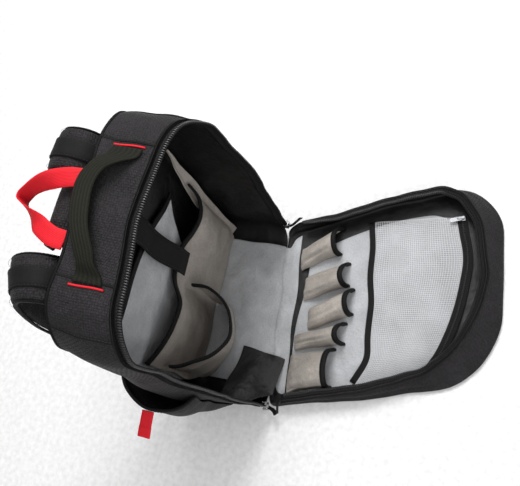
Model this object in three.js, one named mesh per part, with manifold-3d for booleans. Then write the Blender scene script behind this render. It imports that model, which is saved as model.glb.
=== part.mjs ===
import * as THREE from 'three';
import { mergeVertices } from 'three/addons/utils/BufferGeometryUtils.js';
import Module from 'manifold-3d';

// Main sizes, in millimetres: the pack stands on its base, its front panel folded down before it
const HALF_W = 160;
const HEIGHT = 450;
const TOP_DROP = 19;
const BACK_Y = 69.6;
const LOW_R = 28;
const TOP_R = 62;
const WALL = 3;
const GAP = 0.4;
const SIDE_BULGE = [22, 11];
const RIM_BULGE = 8;
const TOP_SHIFT = 7;
const LID_LENGTH = 384;
const LID_HALF_W = 171;
const LID_SHIFT = -5;
const LID_END_R = 104;
const LID_TAPER = 0.92;
const LID_YAW = THREE.MathUtils.degToRad(19.9);
const HINGE_YAW = THREE.MathUtils.degToRad(5.4);
const LINING = 1.6;

// Looks: plain colours read from the object
const LOOKS = {
  shell: { color: 0x3b393a, roughness: 0.85, metalness: 0 },
  trim: { color: 0x232223, roughness: 0.8, metalness: 0 },
  webbing: { color: 0x33332f, roughness: 0.9, metalness: 0 },
  red: { color: 0xd8353f, roughness: 0.75, metalness: 0 },
  light: { color: 0xa9abae, roughness: 0.8, metalness: 0 },
  warm: { color: 0x8f8982, roughness: 0.8, metalness: 0 },
  mesh: { color: 0xd9dade, roughness: 0.6, metalness: 0 },
  metal: { color: 0xb9bbbf, roughness: 0.28, metalness: 1 },
  plastic: { color: 0x1c1c1d, roughness: 0.5, metalness: 0 },
};

const group = new THREE.Group();
const V = (x, y, z) => new THREE.Vector3(x, y, z);
const mix = (a, b, t) => a + (b - a) * t;
const wave = (t) => Math.sin(Math.PI * THREE.MathUtils.clamp(t, 0, 1));

// One value of a table at a station, straight between its rows
function lookup(rows, station, column) {
  const next = rows.findIndex((row) => row[0] >= station);
  if (next < 1) return rows[next < 0 ? rows.length - 1 : 0][column];
  const [a, b] = [rows[next - 1], rows[next]];
  return mix(a[column], b[column], (station - a[0]) / (b[0] - a[0]));
}

// Closed body from points and triangles, turned to face out
function body(name, look, points, faces) {
  const geometry = new THREE.BufferGeometry();
  geometry.setAttribute('position', new THREE.Float32BufferAttribute(points.flatMap((p) => [p.x, p.y, p.z]), 3));
  const volume = faces.reduce((sum, [a, b, c]) =>
    sum + points[a].dot(points[b].clone().cross(points[c])), 0);
  geometry.setIndex(faces.flatMap(([a, b, c]) => (volume > 0 ? [a, b, c] : [a, c, b])));
  geometry.computeVertexNormals();
  const mesh = new THREE.Mesh(geometry, new THREE.MeshStandardMaterial(LOOKS[look]));
  mesh.name = name;
  group.add(mesh);
}

// Faces between neighbouring rows of points; a closed row also joins its ends
function bridge(faces, count, rows, closed) {
  for (let r = 0; r + 1 < rows; r += 1) {
    for (let k = 0; k < (closed ? count : count - 1); k += 1) {
      const [a, b] = [r * count + k, r * count + ((k + 1) % count)];
      faces.push([a, b, b + count], [a, b + count, a + count]);
    }
  }
}

// Normals of a net of points, all on the side of one inner point
function normals(rows, closed, inside) {
  return rows.map((row, r) => row.map((point, k) => {
    const last = row.length - 1;
    const before = closed ? row[(k + last) % row.length] : row[Math.max(k - 1, 0)];
    const after = closed ? row[(k + 1) % row.length] : row[Math.min(k + 1, last)];
    const along = after.clone().sub(before);
    const across = rows[Math.min(r + 1, rows.length - 1)][k].clone().sub(rows[Math.max(r - 1, 0)][k]);
    const normal = along.cross(across).normalize();
    return inside && normal.dot(inside.clone().sub(point)) < 0 ? normal.negate() : normal;
  }));
}

// Open cup of even wall: closed rings from the middle of its base out and up to its rim
function cup(name, look, rings, inside) {
  const inward = normals(rings, true, inside);
  const inner = rings.map((ring, r) => ring.map((p, k) => p.clone().addScaledVector(inward[r][k], WALL)));
  const rows = [...rings, ...inner.reverse()];
  const count = rings[0].length;
  const faces = [];
  bridge(faces, count, rows.length, true);
  const points = rows.flat();
  [rows[0], rows[rows.length - 1]].forEach((ring, end) => {
    const centre = points.length;
    points.push(ring.reduce((sum, p) => sum.add(p), V(0, 0, 0)).divideScalar(count));
    const first = end * (rows.length - 1) * count;
    ring.forEach((p, k) => {
      const [a, b] = [first + k, first + ((k + 1) % count)];
      faces.push(end ? [a, b, centre] : [b, a, centre]);
    });
  });
  body(name, look, points, faces);
  const rim = rings[rings.length - 1];
  const below = rings[rings.length - 2];
  return rim.map((p, k) => ({ p, u: p.clone().sub(below[k]).normalize(), v: inward[rings.length - 1][k] }));
}

// Even sheet on one side of a net of points, or between two nets
function sheet(name, look, net, thick, towards, other) {
  const away = normals(net, false, towards);
  const back = other ?? net.map((row, r) => row.map((p, k) => p.clone().addScaledVector(away[r][k], thick)));
  const [rows, count] = [net.length, net[0].length];
  const size = rows * count;
  const faces = [];
  bridge(faces, count, rows, false);
  const reverse = faces.map(([a, b, c]) => [a + size, c + size, b + size]);
  const edge = [];
  for (let k = 0; k < count - 1; k += 1) edge.push([k, k + 1]);
  for (let r = 0; r < rows - 1; r += 1) edge.push([r * count + count - 1, (r + 1) * count + count - 1]);
  for (let k = count - 1; k > 0; k -= 1) edge.push([(rows - 1) * count + k, (rows - 1) * count + k - 1]);
  for (let r = rows - 1; r > 0; r -= 1) edge.push([r * count, (r - 1) * count]);
  edge.forEach(([a, b]) => faces.push([b, a, a + size], [b, a + size, b + size]));
  body(name, look, [...net.flat(), ...back.flat()], [...faces, ...reverse]);
  return away;
}

// One section carried through frames, each a point with two directions
function sweep(name, look, frames, section) {
  const sections = frames.map((f, i) => (typeof section === 'function' ? section(i / (frames.length - 1)) : section));
  const points = frames.flatMap(({ p, u, v }, i) => sections[i].map(([a, b]) =>
    p.clone().addScaledVector(u, a).addScaledVector(v, b)));
  const count = sections[0].length;
  const faces = [];
  bridge(faces, count, frames.length, true);
  const cap = (s) => THREE.ShapeUtils.triangulateShape(s.map(([a, b]) => new THREE.Vector2(a, b)), []);
  const turn = THREE.ShapeUtils.isClockWise(sections[0].map(([a, b]) => new THREE.Vector2(a, b)));
  const last = (frames.length - 1) * count;
  cap(sections[0]).forEach(([a, b, c]) => faces.push(turn ? [a, b, c] : [a, c, b]));
  cap(sections[sections.length - 1]).forEach(([a, b, c]) =>
    faces.push(turn ? [last + a, last + c, last + b] : [last + a, last + b, last + c]));
  body(name, look, points, faces);
}

// Frames along a path of points whose width runs in the given direction, square to the path unless skewed
function frames(path, width, skewed = false) {
  return path.map((p, i) => {
    const step = path[Math.min(i + 1, path.length - 1)].clone().sub(path[Math.max(i - 1, 0)]).normalize();
    const wide = (typeof width === 'function' ? width(i / (path.length - 1)) : width).clone();
    const u = (skewed ? wide : wide.addScaledVector(step, -wide.dot(step))).normalize();
    return { p, u, v: step.clone().cross(u).normalize() };
  });
}

const curve = (points, count) => new THREE.CatmullRomCurve3(points.map((p) => V(...p))).getSpacedPoints(count);
const padding = (wide, thick) => [[-0.5, -0.1], [-0.46, -0.5], [0.46, -0.5], [0.5, -0.1],
  [0.5, 0.1], [0.46, 0.5], [-0.46, 0.5], [-0.5, 0.1]].map(([a, b]) => [a * wide, b * thick]);
const flat = (wide, thick) => [[-0.5, -0.5], [0.5, -0.5], [0.5, 0.5], [-0.5, 0.5]]
  .map(([a, b]) => [a * wide, b * thick]);

// Rounded outline standing on its lower edge: 52 points from the middle of that edge, each with a station
const LEGS = [4, 4, 8, 6, 4, 4, 6, 8, 4, 4];
function outline(halfW, height, lowR, topR) {
  const arc = (cx, cz, r, from, t) =>
    [cx + r * Math.cos((from + t) * Math.PI / 2), cz + r * Math.sin((from + t) * Math.PI / 2)];
  const legs = [
    (t) => [mix(0, halfW - lowR, t), 0],
    (t) => arc(halfW - lowR, lowR, lowR, -1, t),
    (t) => [halfW, mix(lowR, height - topR, t)],
    (t) => arc(halfW - topR, height - topR, topR, 0, t),
    (t) => [mix(halfW - topR, 0, t), height],
    (t) => [mix(0, topR - halfW, t), height],
    (t) => arc(topR - halfW, height - topR, topR, 1, t),
    (t) => [-halfW, mix(height - topR, lowR, t)],
    (t) => arc(lowR - halfW, lowR, lowR, 2, t),
    (t) => [mix(lowR - halfW, 0, t), 0],
  ];
  return legs.flatMap((leg, i) => Array.from({ length: LEGS[i] }, (unused, j) => {
    const [x, z] = leg(j / LEGS[i]);
    return { x, z, station: i + j / LEGS[i] };
  }));
}

// Front edge of the shell's cloth: station round the outline, its place from back to front
const FRONT = [
  [0, -69], [1, -57], [1.6, -54], [2, -48], [2.13, -47], [2.5, -47], [2.8, -41], [3, -36], [3.5, -20],
  [4, -8], [5, -3], [6, -8], [6.5, -14], [7, -24], [7.3, -36], [7.6, -56], [7.75, -67], [7.87, -78], [8, -80],
  [8.2, -83], [9, -82], [10, -69],
];
const hingeY = (x) => -BACK_Y + x * Math.tan(HINGE_YAW);
const frontY = (station) => lookup(FRONT, station, 1);
// How far a side wall stands out between its edges, near side or far side, and its shift to one side
function sideOut(share, z, sign) {
  const middle = SIDE_BULGE[sign > 0 ? 1 : 0] * wave(share);
  return wave(z / HEIGHT) * (middle + RIM_BULGE * Math.min(share, 1) ** 2);
}
const leanX = (z) => TOP_SHIFT * z / HEIGHT;

// Shell of the body: back panel, rounded back edge with its piping, and gusset
const GUSSET = [0.06, 0.3, 0.55, 0.8, 0.92, 1];
const BACK_RINGS = [[90, 0], [44, 0], [9, 0], [3, -1], [0.4, -4]];
function backRing([inset, y]) {
  return outline(HALF_W - inset, HEIGHT - 2 * inset, Math.max(LOW_R - inset, 4), Math.max(TOP_R - inset, 6))
    .map(({ x, z }) => V(x + leanX(z), BACK_Y + y, z + inset));
}
function gussetRing(share) {
  return outline(HALF_W, HEIGHT, LOW_R, TOP_R).map(({ x, z, station }) => {
    const sign = Math.sign(x);
    const out = sign * sideOut(share, z, sign) * THREE.MathUtils.smoothstep(Math.abs(x), 0, HALF_W);
    const drop = TOP_DROP * share * THREE.MathUtils.smoothstep(z, HEIGHT * 0.5, HEIGHT);
    return V(x + out + leanX(z), mix(BACK_Y - 5, frontY(station), share), z - drop);
  });
}
const shellRim = cup('body_shell', 'shell', [...BACK_RINGS.map(backRing), ...GUSSET.map(gussetRing)],
  V(0, 0, HEIGHT / 2));

// Front panel as a shallow tray: base outline on the floor, rim as its zip line stands
const LID_RIM = [
  // station, across, along, height of the cloth edge
  [0, 0, 0.4, 3.8], [1, 148, 0.4, 3.8], [1.5, 160, 8, 14], [2, 163, 26, 28], [2.3, 160, 90, 34],
  [2.7, 166, 200, 35], [3, 164, 280, 35], [3.5, 142, 316, 34], [4, 92, 344, 33], [5, -4, 359, 33],
  [5.5, -56, 347, 30], [6, -98, 323, 27], [6.5, -128, 294, 26], [7, -150, 258, 27], [7.3, -159, 212, 29],
  [7.6, -161, 140, 31], [8, -160, 24, 28], [8.5, -156, 8, 14], [9, -148, 0.4, 3.8], [10, 0, 0.4, 3.8],
];
const LID_AX = V(Math.cos(HINGE_YAW), Math.sin(HINGE_YAW), 0);
const LID_AY = V(Math.sin(LID_YAW), -Math.cos(LID_YAW), 0);
const HINGE_GAP = 1.4;
const onLid = (x, along, z) => V(0, -BACK_Y, z).addScaledVector(LID_AX, x).addScaledVector(LID_AY, along + HINGE_GAP);
const LID_RINGS = [[80, 0], [30, 0], [9, 0], [3, 1.4], [0.2, 5]];
const LID_WALLS = [0.2, 0.45, 0.7, 0.9, 1];
const lidTaper = (along) => mix(LID_TAPER, 1, THREE.MathUtils.smoothstep(along, 0, LID_LENGTH / 2));
const lidOutline = (inset) => outline(LID_HALF_W - inset, LID_LENGTH - 2 * inset, Math.max(20 - inset, 4),
  Math.max(LID_END_R - inset, 8)).map(({ x, z, station }) =>
  ({ x: (x + LID_SHIFT) * lidTaper(z), along: z + inset, station }));
// The tray's floor edge is low where it meets the body, so it lifts no higher than the cloth edge there
const lidRings = [
  ...LID_RINGS.map(([inset, z]) => lidOutline(inset).map(({ x, along, station }) =>
    onLid(x, along, Math.min(z, lookup(LID_RIM, station, 3) * 0.3)))),
  ...LID_WALLS.map((share) => lidOutline(0).map(({ x, along, station }) => {
    const edge = [1, 2, 3].map((column) => lookup(LID_RIM, station, column));
    const rise = mix(Math.min(5, edge[2] * 0.3), edge[2], share);
    const lean = share ** 1.25;
    return onLid(mix(x, edge[0], lean), mix(along, edge[1], lean), rise);
  })),
];
const lidRim = cup('front_panel_shell', 'shell', lidRings, onLid(0, LID_LENGTH / 2, 60));

// Zip tape lapped inside a rim, with the coil along its free edge
const ZIP = [[-5, WALL + 0.6], [1, WALL + 0.6], [6.4, 2.6], [7, 0.6], [11, 0.3], [11.7, 2.4], [10.8, 4.2], [-5, 5]];
const ZIP_ENDS = [2, 8];
const stations = outline(HALF_W, HEIGHT, LOW_R, TOP_R).map((p) => p.station);
const zipFrames = (rim) => rim.filter((unused, k) => stations[k] >= ZIP_ENDS[0] && stations[k] <= ZIP_ENDS[1]);
sweep('body_zip', 'trim', zipFrames(shellRim), ZIP);
sweep('front_panel_zip', 'trim', zipFrames(lidRim), ZIP);

// Linings: one runs over the floor and on across the fold, one covers the front panel
const FLOOR = WALL + GAP;
const floorNet = [
  [60, null, FLOOR, 0.81], [20, null, FLOOR, 0.81], [-20, null, FLOOR, 0.81], [null, -7, FLOOR, 0.81],
  [null, 0, FLOOR + 1.5, 0.78], [null, 8, FLOOR + 1.7, 0.77], [null, 15, FLOOR + 0.3, 0.86], [null, 27, FLOOR, 0.9],
].map(([y, along, z, share]) => [-1, -0.6, -0.2, 0.2, 0.6, 1].map((side) => {
  const x = side * HALF_W * share;
  return y === null ? onLid(x, along, z) : V(x, y + (y > 0 ? 0 : (x * Math.tan(HINGE_YAW)) / 2), z);
}));
sheet('floor_lining', 'light', floorNet, LINING, V(0, 0, HEIGHT));
const LID_LINING = [[29, -146, 100], [90, -154, 112], [180, -158, 128], [260, -148, 128], [300, -118, 106], [332, -70, 72]];
sheet('front_panel_lining', 'light', LID_LINING.map(([along, near, far]) =>
  [0, 0.2, 0.4, 0.6, 0.8, 1].map((t) => onLid(mix(near, far, t), along, FLOOR))), LINING, onLid(0, 150, HEIGHT));

// Binding folded over the last row of a sheet's net
function binding(name, look, net, away, thick, deep, lift = GAP) {
  const half = thick / 2;
  const [inner, outer] = [half + GAP, half + GAP + 1];
  const section = [[-outer, -deep], [-outer, lift + 1], [outer, lift + 1], [outer, -deep],
    [inner, -deep], [inner, lift], [-inner, lift], [-inner, -deep]];
  const last = net.length - 1;
  sweep(name, look, net[last].map((p, k) => ({
    p: p.clone().addScaledVector(away[last][k], half),
    u: away[last][k],
    v: p.clone().sub(net[last - 1][k]).normalize(),
  })), section);
}

// Tool pockets on the front panel: half tubes, flat at the seam and open towards the panel's end
const POCKET_FLOOR = FLOOR + LINING + GAP;
const TOOL_POCKETS = [
  // across and along at the seam, across and along at the mouth, width at each end, height
  [94, 33, 112, 108, 34, 50, 33], [36, 42, 46, 125, 36, 42, 32], [-19, 57, -4, 134, 34, 43, 33],
  [-58, 36, -58, 126, 24, 40, 30], [-112, 31, -115, 110, 52, 64, 42],
];
const MOUTH_BACK = 11; // how far the top of a mouth is drawn back
TOOL_POCKETS.forEach(([x0, s0, x1, s1, w0, w1, high], i) => {
  const arch = (inset) => [0, 0.12, 0.35, 0.65, 1].map((t) => Array.from({ length: 9 }, (unused, k) => {
    const turn = Math.PI * (k / 8);
    const rise = mix(4, high, Math.sin(Math.PI * 0.5 * Math.min(t * 1.25, 1))) - inset;
    return onLid(mix(x0, x1, t) - (0.5 * mix(w0, w1, t) - inset) * Math.cos(turn), mix(s0, s1, t) - MOUTH_BACK * t * t * Math.sin(turn),
      POCKET_FLOOR + rise * Math.sin(turn) ** 0.8);
  }));
  const net = arch(0);
  const name = `tool_pocket_${i + 1}`;
  const away = sheet(name, 'warm', net, LINING, onLid(mix(x0, x1, 0.5), mix(s0, s1, 0.5), 0), arch(LINING));
  binding(`${name}_binding`, 'trim', net.map((row) => row.map((q) => q.clone().setZ(q.z + 0.3))), away, LINING + 0.8, 7, 1.3);
});

// Mesh pocket across the end of the front panel, its hem, and the zip along its end
const HEM = [[-148, 152], [-112, 170], [-70, 172], [-30, 170], [10, 169], [50, 168], [92, 166], [134, 164]];
const MESH_END = [[-146, 254], [-118, 276], [-88, 290], [-50, 302], [-10, 311], [30, 315], [72, 312], [112, 304]];
const MESH_T = 1;
const meshNet = [0, 0.2, 0.4, 0.6, 0.8, 1].map((t) => HEM.map(([x, along], k) => onLid(mix(x, MESH_END[k][0], t),
  mix(along, MESH_END[k][1], t), POCKET_FLOOR + 0.2 + 15 * wave(t) * wave((k + 0.4) / 7.8))));
sheet('mesh_pocket', 'mesh', meshNet, MESH_T, onLid(0, 230, HEIGHT));
const meshEdge = (points) => frames(points.map(([x, along]) => onLid(x, along, POCKET_FLOOR)), V(0, 0, 1))
  .map(({ p, u, v }) => ({ p, u: v.negate(), v: u }));
const beside = (out, section) => section.map(([a, b]) => [a + out, b]);
sweep('mesh_pocket_hem', 'trim', meshEdge(HEM), beside(6, [[-5, 0], [5, 0], [5, 2.4], [-5, 2.4]]));
sweep('mesh_pocket_zip', 'trim', meshEdge(MESH_END),
  beside(-9, [[-8, 0], [8, 0], [8, 1.2], [2, 1.2], [1.6, 3], [-1.6, 3], [-2, 1.2], [-8, 1.2]]));

// Pockets inside the body, each a sheet from the floor to its mouth: across, back to front and top of the mouth, and
// where they differ from the rest the foot's place from back to front and across
function wallPocket(name, look, columns, foot, shares, aside = 0) {
  const net = shares.map((t) => columns.map(([x, y, top, footY, footX]) => V(
    footX === undefined ? x * mix(0.94, 1, Math.min(t * 4, 1)) : mix(footX, x, t ** 4), mix(footY ?? foot, y, t ** 0.7), mix(POCKET_FLOOR + 0.2, top, t))));
  const away = sheet(name, look, net, LINING, V(aside, HEIGHT, 100));
  binding(`${name}_binding`, 'trim', net, away, LINING, 8);
}
wallPocket('rear_pocket', 'light', [[-148, 61, 300], [-90, 61, 300], [-30, 61, 297], [20, 60.5, 292, 61, 2],
  [60, 60, 279, 61, 20], [92, 59.4, 268, 61, 32], [113, 58.8, 263, 61, 41]], 61, [0, 0.25, 0.5, 0.7, 0.85, 1]);
wallPocket('front_pocket', 'warm', [[-144, 52, 206], [-118, 42, 200], [-80, 33, 196], [-42, 33, 190], [-8, 50, 197],
  [20, 53, 200], [44, 50, 200], [74, 36, 200], [104, 31, 200], [128, 36, 212], [139, 46, 232]], 50, [0, 0.25, 0.5, 0.75, 1]);
// Strip up the far corner behind the front pocket: height, then across and back to front of its two edges
const STRIP = [[12, 128, 56, 146, 48], [100, 129, 56, 149.6, 47], [199, 129, 55.5, 151.6, 46], [250, 139, 53.5, 152.6, 46],
  [290, 147, 51, 153, 46], [322, 151, 48.5, 153.4, 46]];
sheet('corner_strip', 'warm', STRIP.map(([z, x0, y0, x1, y1]) => [0, 0.5, 1].map((t) => V(mix(x0, x1, t), mix(y0, y1, t), z))),
  LINING, V(0, HEIGHT, 100));
wallPocket('lower_pocket', 'warm', [[2, 42, 142, 44], [4, 18, 134, 30], [-14, -10, 122, 16], [-42, -26, 112, 8],
  [-74, -27, 112, 8], [-104, -13.5, 127, 14], [-128, 12, 156, 24], [-138, 30, 172, 34]], 30, [0, 0.35, 0.7, 1], -HALF_W);
// Paths near the top of the back: across, behind the back's plane, and up from the base, or down from the top if not above 0
const onBack = (rows) => rows.map(([x, behind, z]) => [x, BACK_Y + behind, z > 0 ? z : HEIGHT + z]);
sweep('closing_strap', 'trim', frames(curve(onBack([[26, -4.3, -46], [26, -7.6, -110], [25, -14.6, -144], [24, -19.6, -190],
  [24, -25.6, -235], [25, -27.6, -272]]), 9), V(1, 0, 0.2)), flat(38, 1.8));

// Carry handle sewn into two seams of the top, its middle folded double, with a red strip at each end
const topZ = (x, y) => HEIGHT - (TOP_DROP * (BACK_Y - 5 - y)) / (BACK_Y - 5 - frontY(5 - x / (HALF_W - TOP_R)));
const HANDLE_X = [0.6 * HALF_W, -0.5125 * HALF_W];
const HANDLE_Y = 26;
const handleZ = (x) => topZ(x, HANDLE_Y) + 1.9;
// Share of the half width, place from back to front, height over the top's plane or, near the seams, over the seat
const HANDLE_RISE = [[0.45, 42, 3], [0.325, 56, 9], [0.2125, 59, 11], [0, 48, 12], [-0.25, 36, 10], [-0.3875, 30, 3]];
const seated = (x, y, over) => [x, y, handleZ(x) + over];
const handlePath = curve([seated(HANDLE_X[0], HANDLE_Y, 0), seated(0.5375 * HALF_W, 29, 1.5),
  ...HANDLE_RISE.map(([share, y, over]) => [share * HALF_W, y, HEIGHT + over]),
  seated(-0.45625 * HALF_W, 27, 1.2), seated(HANDLE_X[1], HANDLE_Y, 0)], 20);
const HANDLE = [[0, 36, 2.4], [0.14, 30, 3], [0.3, 19, 6], [0.84, 18, 6], [0.93, 26, 3.4], [1, 36, 2.4]];
sweep('carry_handle', 'webbing', frames(handlePath, (t) => V(0, 1, 0.25 * Math.abs(Math.cos(Math.PI * t)) ** 3), true),
  (t) => padding(lookup(HANDLE, t, 1), lookup(HANDLE, t, 2)));
[['far', HANDLE_X[0] + 3.4], ['near', HANDLE_X[1] - 3.4]].forEach(([side, x]) => {
  const run = [46, 36, 26, 16, 6].map((y) => V(x, y, topZ(x, y) + 1.2));
  sweep(`handle_strip_${side}`, 'red', frames(run, V(1, 0, 0)), flat(3, 1.4));
});

// Grab loop of red webbing on the top edge of the back, turned on edge where it doubles back
// Across, behind the back's plane, over the top's plane
const LOOP = [[48, 1.6, -4], [45, 22.4, 1], [35, 50.4, 4], [18, 69.4, 5], [8, 73.4, 4], [-1, 66.4, 2], [-20, 41.4, -1],
  [-31, 20.4, -3], [-34, 1.6, -6]];
const LOOP_WIDE = [[0, 1, 0, 0], [0.2, 0.8, 0, 0.3], [0.42, 0.1, 0, 1], [0.55, 0.2, 0, 0.9], [0.75, 0.9, 0.2, 0.2], [1, 1, 0, 0]];
sweep('grab_loop', 'red', frames(curve(LOOP.map(([x, behind, over]) => [x, BACK_Y + behind, HEIGHT + over]), 22),
  (t) => V(...[1, 2, 3].map((column) => lookup(LOOP_WIDE, t, column)))), flat(25, 1.6));

// Padded shoulder straps behind the back, the padded piece between them, and their lower webbing with buckles
const STRAP = [62, 12];
const YAW = { far: [1, -0.08, 0], near: [0.9, 0.42, 0] };
const STRAP_PATH = {
  far: onBack([[86, 6.2, -50], [86, 9.8, -28], [87, 25.4, -12], [88, 50.4, -9], [90, 69.4, -22], [95, 78.4, -58],
    [106, 72.4, -140], [116, 50.4, 215], [122, 30.4, 140], [124, 20.4, 100]]),
  near: onBack([[-80, 7, -50], [-80, 10.4, -28], [-82, 25.4, -12], [-86, 50.4, -10], [-91, 68.4, -24], [-97, 76.4, -58],
    [-107, 70.4, -140], [-116, 50.4, 215], [-120, 30.4, 140], [-122, 20.4, 100]]),
};
Object.entries(STRAP_PATH).forEach(([side, path]) => {
  const wide = (t) => V(1, 0, 0).lerp(V(...YAW[side]), wave(t * 2.4));
  sweep(`shoulder_strap_${side}`, 'shell', frames(curve(path, 20), wide), padding(...STRAP));
  const [x, y, z] = path[path.length - 1];
  const out = Math.sign(x);
  sweep(`strap_buckle_${side}`, 'plastic', frames([V(x, y - 0.6, z - 0.9), V(x + out, y - 2.6, z - 15), V(x + 2 * out, y - 4.6, z - 29)],
    V(1, 0, 0)), padding(34, 5));
  sweep(`lower_webbing_${side}`, 'webbing', frames(curve([[x + 2 * out, y - 5, z - 31], [x + 4 * out, BACK_Y + 10.4, z - 48],
    [x + 5 * out, BACK_Y + 1.6, 38], [x + 5 * out, BACK_Y + 1.6, 30]], 6), V(1, 0, 0)), flat(25, 1.8));
});
sweep('strap_yoke', 'shell', frames(curve(onBack([[2, 5.3, -54], [2, 8.8, -32], [2, 22.4, -17], [2, 40.4, -22], [2, 46.4, -46]]), 8),
  V(1, 0, 0)), padding(88, 10));

// Pouch on the near side wall, gaping at its mouth, with a red pull tab at the lip
const sideX = (y, z) => {
  const share = (BACK_Y - 5 - y) / (BACK_Y - 5 - lookup(FRONT, 7 + (HEIGHT - TOP_R - z) / (HEIGHT - TOP_R - LOW_R), 1));
  return -HALF_W - sideOut(share, z, -1) + leanX(z);
};
const POUCH_Y = [58, 50, 34, 14, -8, -26, -36];
const pouchNet = [0, 0.12, 0.35, 0.65, 0.85, 1].map((t) => POUCH_Y.map((y, k) => {
  const z = mix(36, mix(246, 212, k / (POUCH_Y.length - 1)), t);
  return V(sideX(y, z) - mix(0.9, 2.4, t) - 20 * wave(k / (POUCH_Y.length - 1)) ** 0.7 * Math.min(t * 2.2, 1), y, z);
}));
const pouchAway = sheet('side_pocket', 'shell', pouchNet, 2, V(-HALF_W * 3, 10, 120));
binding('side_pocket_binding', 'trim', pouchNet, pouchAway, 2, 8);
const lip = pouchNet[pouchNet.length - 1][3];
sweep('side_tab', 'red', frames([[3.7, 1], [13, 2], [29, 5], [29.4, 5.1], [41, 8]].map(([out, down]) =>
  V(lip.x - out, 19, lip.z - 4 - down)), V(0, 1, 0)), (t) => flat(19, t > 0.6 ? 3.6 : 1.6));

// Black lining of the near wall, which has slipped down over the floor: place from back to front, edge on the floor,
// height at the wall, height of the edge, and place of the wall where the zip stands in the way
const SLIP = [[-16, -66, 60, 5.4], [-40, -68, 58, 5.4], [-62, -71, 50, 5.8], [-80, -74, 38, 7.4, -148], [-98, -78, 26, 6.6, -138]];
sheet('near_wall_lining', 'trim', [0, 0.2, 0.45, 0.75, 1].map((t) => SLIP.map(([y, edge, top, low, wall]) => V(
  mix(wall ?? sideX(y, top) + WALL + 3 * GAP, edge, t), y, mix(low, top, (1 - t) ** 1.5)))), LINING, V(0, 0, HEIGHT));

// Zip sliders at the lower ends of the body's zip, each a clamp round the coil with a bridge for its pull
const wasm = await Module();
wasm.setup();
const SLIDER = { long: 12, plate: 1.7, post: 1.5, bridge: 3.2, bar: 1.4 };
const PULL = { long: 19, wide: 7, thick: 1.3, rod: 0.72, eye: 6.8, side: 1.7 };
const box = (x0, x1, y0, y1, z0, z1) => {
  const geometry = new THREE.BoxGeometry(x1 - x0, y1 - y0, z1 - z0).translate((x0 + x1) / 2, (y0 + y1) / 2, (z0 + z1) / 2);
  const { array } = mergeVertices(geometry.deleteAttribute('normal').deleteAttribute('uv')).attributes.position;
  const index = mergeVertices(geometry).index.array;
  return new wasm.Manifold(new wasm.Mesh({ numProp: 3, vertProperties: array, triVerts: new Uint32Array(index) }));
};
// Turns a manifold solid into a body placed by a frame: u across the zip, v into the pack, w along the zip
function place(name, look, solid, { p, u, v, w }) {
  const made = solid.getMesh();
  const points = Array.from({ length: made.numVert }, (unused, i) => {
    const [a, b, c] = made.vertProperties.slice(i * made.numProp, i * made.numProp + 3);
    return p.clone().addScaledVector(u, a).addScaledVector(v, b).addScaledVector(w, c);
  });
  const faces = Array.from({ length: made.numTri }, (unused, i) => Array.from(made.triVerts.slice(i * 3, i * 3 + 3)));
  body(name, look, points, faces);
}
// Slider and pull in their own frame: outer face towards -b, pull hanging towards -c from its bar at the origin
const SEAT = 1.6 + SLIDER.bar / 2;
function sliderSolid(clamp) {
  const half = SLIDER.long / 2;
  const bridge = box(-1, 1, -SEAT, -SEAT + SLIDER.bar, -half + 1, half - 1)
    .add(box(-1, 1, -SEAT, SEAT + 0.2, -half + 1, -half + 1 + SLIDER.post))
    .add(box(-1, 1, -SEAT, SEAT + 0.2, half - 1 - SLIDER.post, half - 1));
  const solid = bridge.add(box(-4.2, 4.2, SEAT, SEAT + SLIDER.plate, -half, half));
  return clamp ? solid.add(box(3.4, 4.9, SEAT, SEAT + clamp, -half, half))
    .add(box(-3.4, 4.9, SEAT + clamp - SLIDER.plate, SEAT + clamp, -half, half)) : solid;
}
const pullSolid = () => box(-PULL.wide / 2, PULL.wide / 2, -PULL.thick / 2, PULL.thick / 2, -PULL.long, 0)
  .subtract(box(PULL.side - PULL.wide / 2, PULL.wide / 2 - PULL.side, -1, 1, -PULL.eye, 1))
  .add(wasm.Manifold.cylinder(PULL.wide, PULL.rod, PULL.rod, 12, true).rotate([0, 90, 0]));
const SLIDER_UP = 7;
const CLAMP = 9;
const UP = V(0, 0, 1);
[['far', ZIP_ENDS[0]], ['near', ZIP_ENDS[1]]].forEach(([side, station]) => {
  const rim = shellRim[stations.indexOf(station)];
  const u = rim.u.clone().setZ(0).normalize();
  const v = rim.v.clone().setZ(0).addScaledVector(u, -rim.v.clone().setZ(0).dot(u)).normalize();
  const p = rim.p.clone().addScaledVector(u, 8.9).addScaledVector(v, -SEAT - SLIDER.plate - 0.5).addScaledVector(UP, SLIDER_UP);
  place(`zip_slider_${side}`, 'metal', sliderSolid(CLAMP), { p, u, v, w: UP });
  place(`zip_pull_${side}`, 'metal', pullSolid(), { p, u, v, w: UP });
});
const meshSlider = { p: onLid(107, 313, POCKET_FLOOR + 3 + GAP + SEAT + SLIDER.plate), u: LID_AX, v: UP.clone().negate(), w: LID_AY };
meshSlider.u = LID_AX.clone().addScaledVector(LID_AY, -LID_AX.dot(LID_AY)).normalize();
place('mesh_zip_slider', 'metal', sliderSolid(0), meshSlider);
place('mesh_zip_pull', 'metal', pullSolid(), meshSlider);

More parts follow.
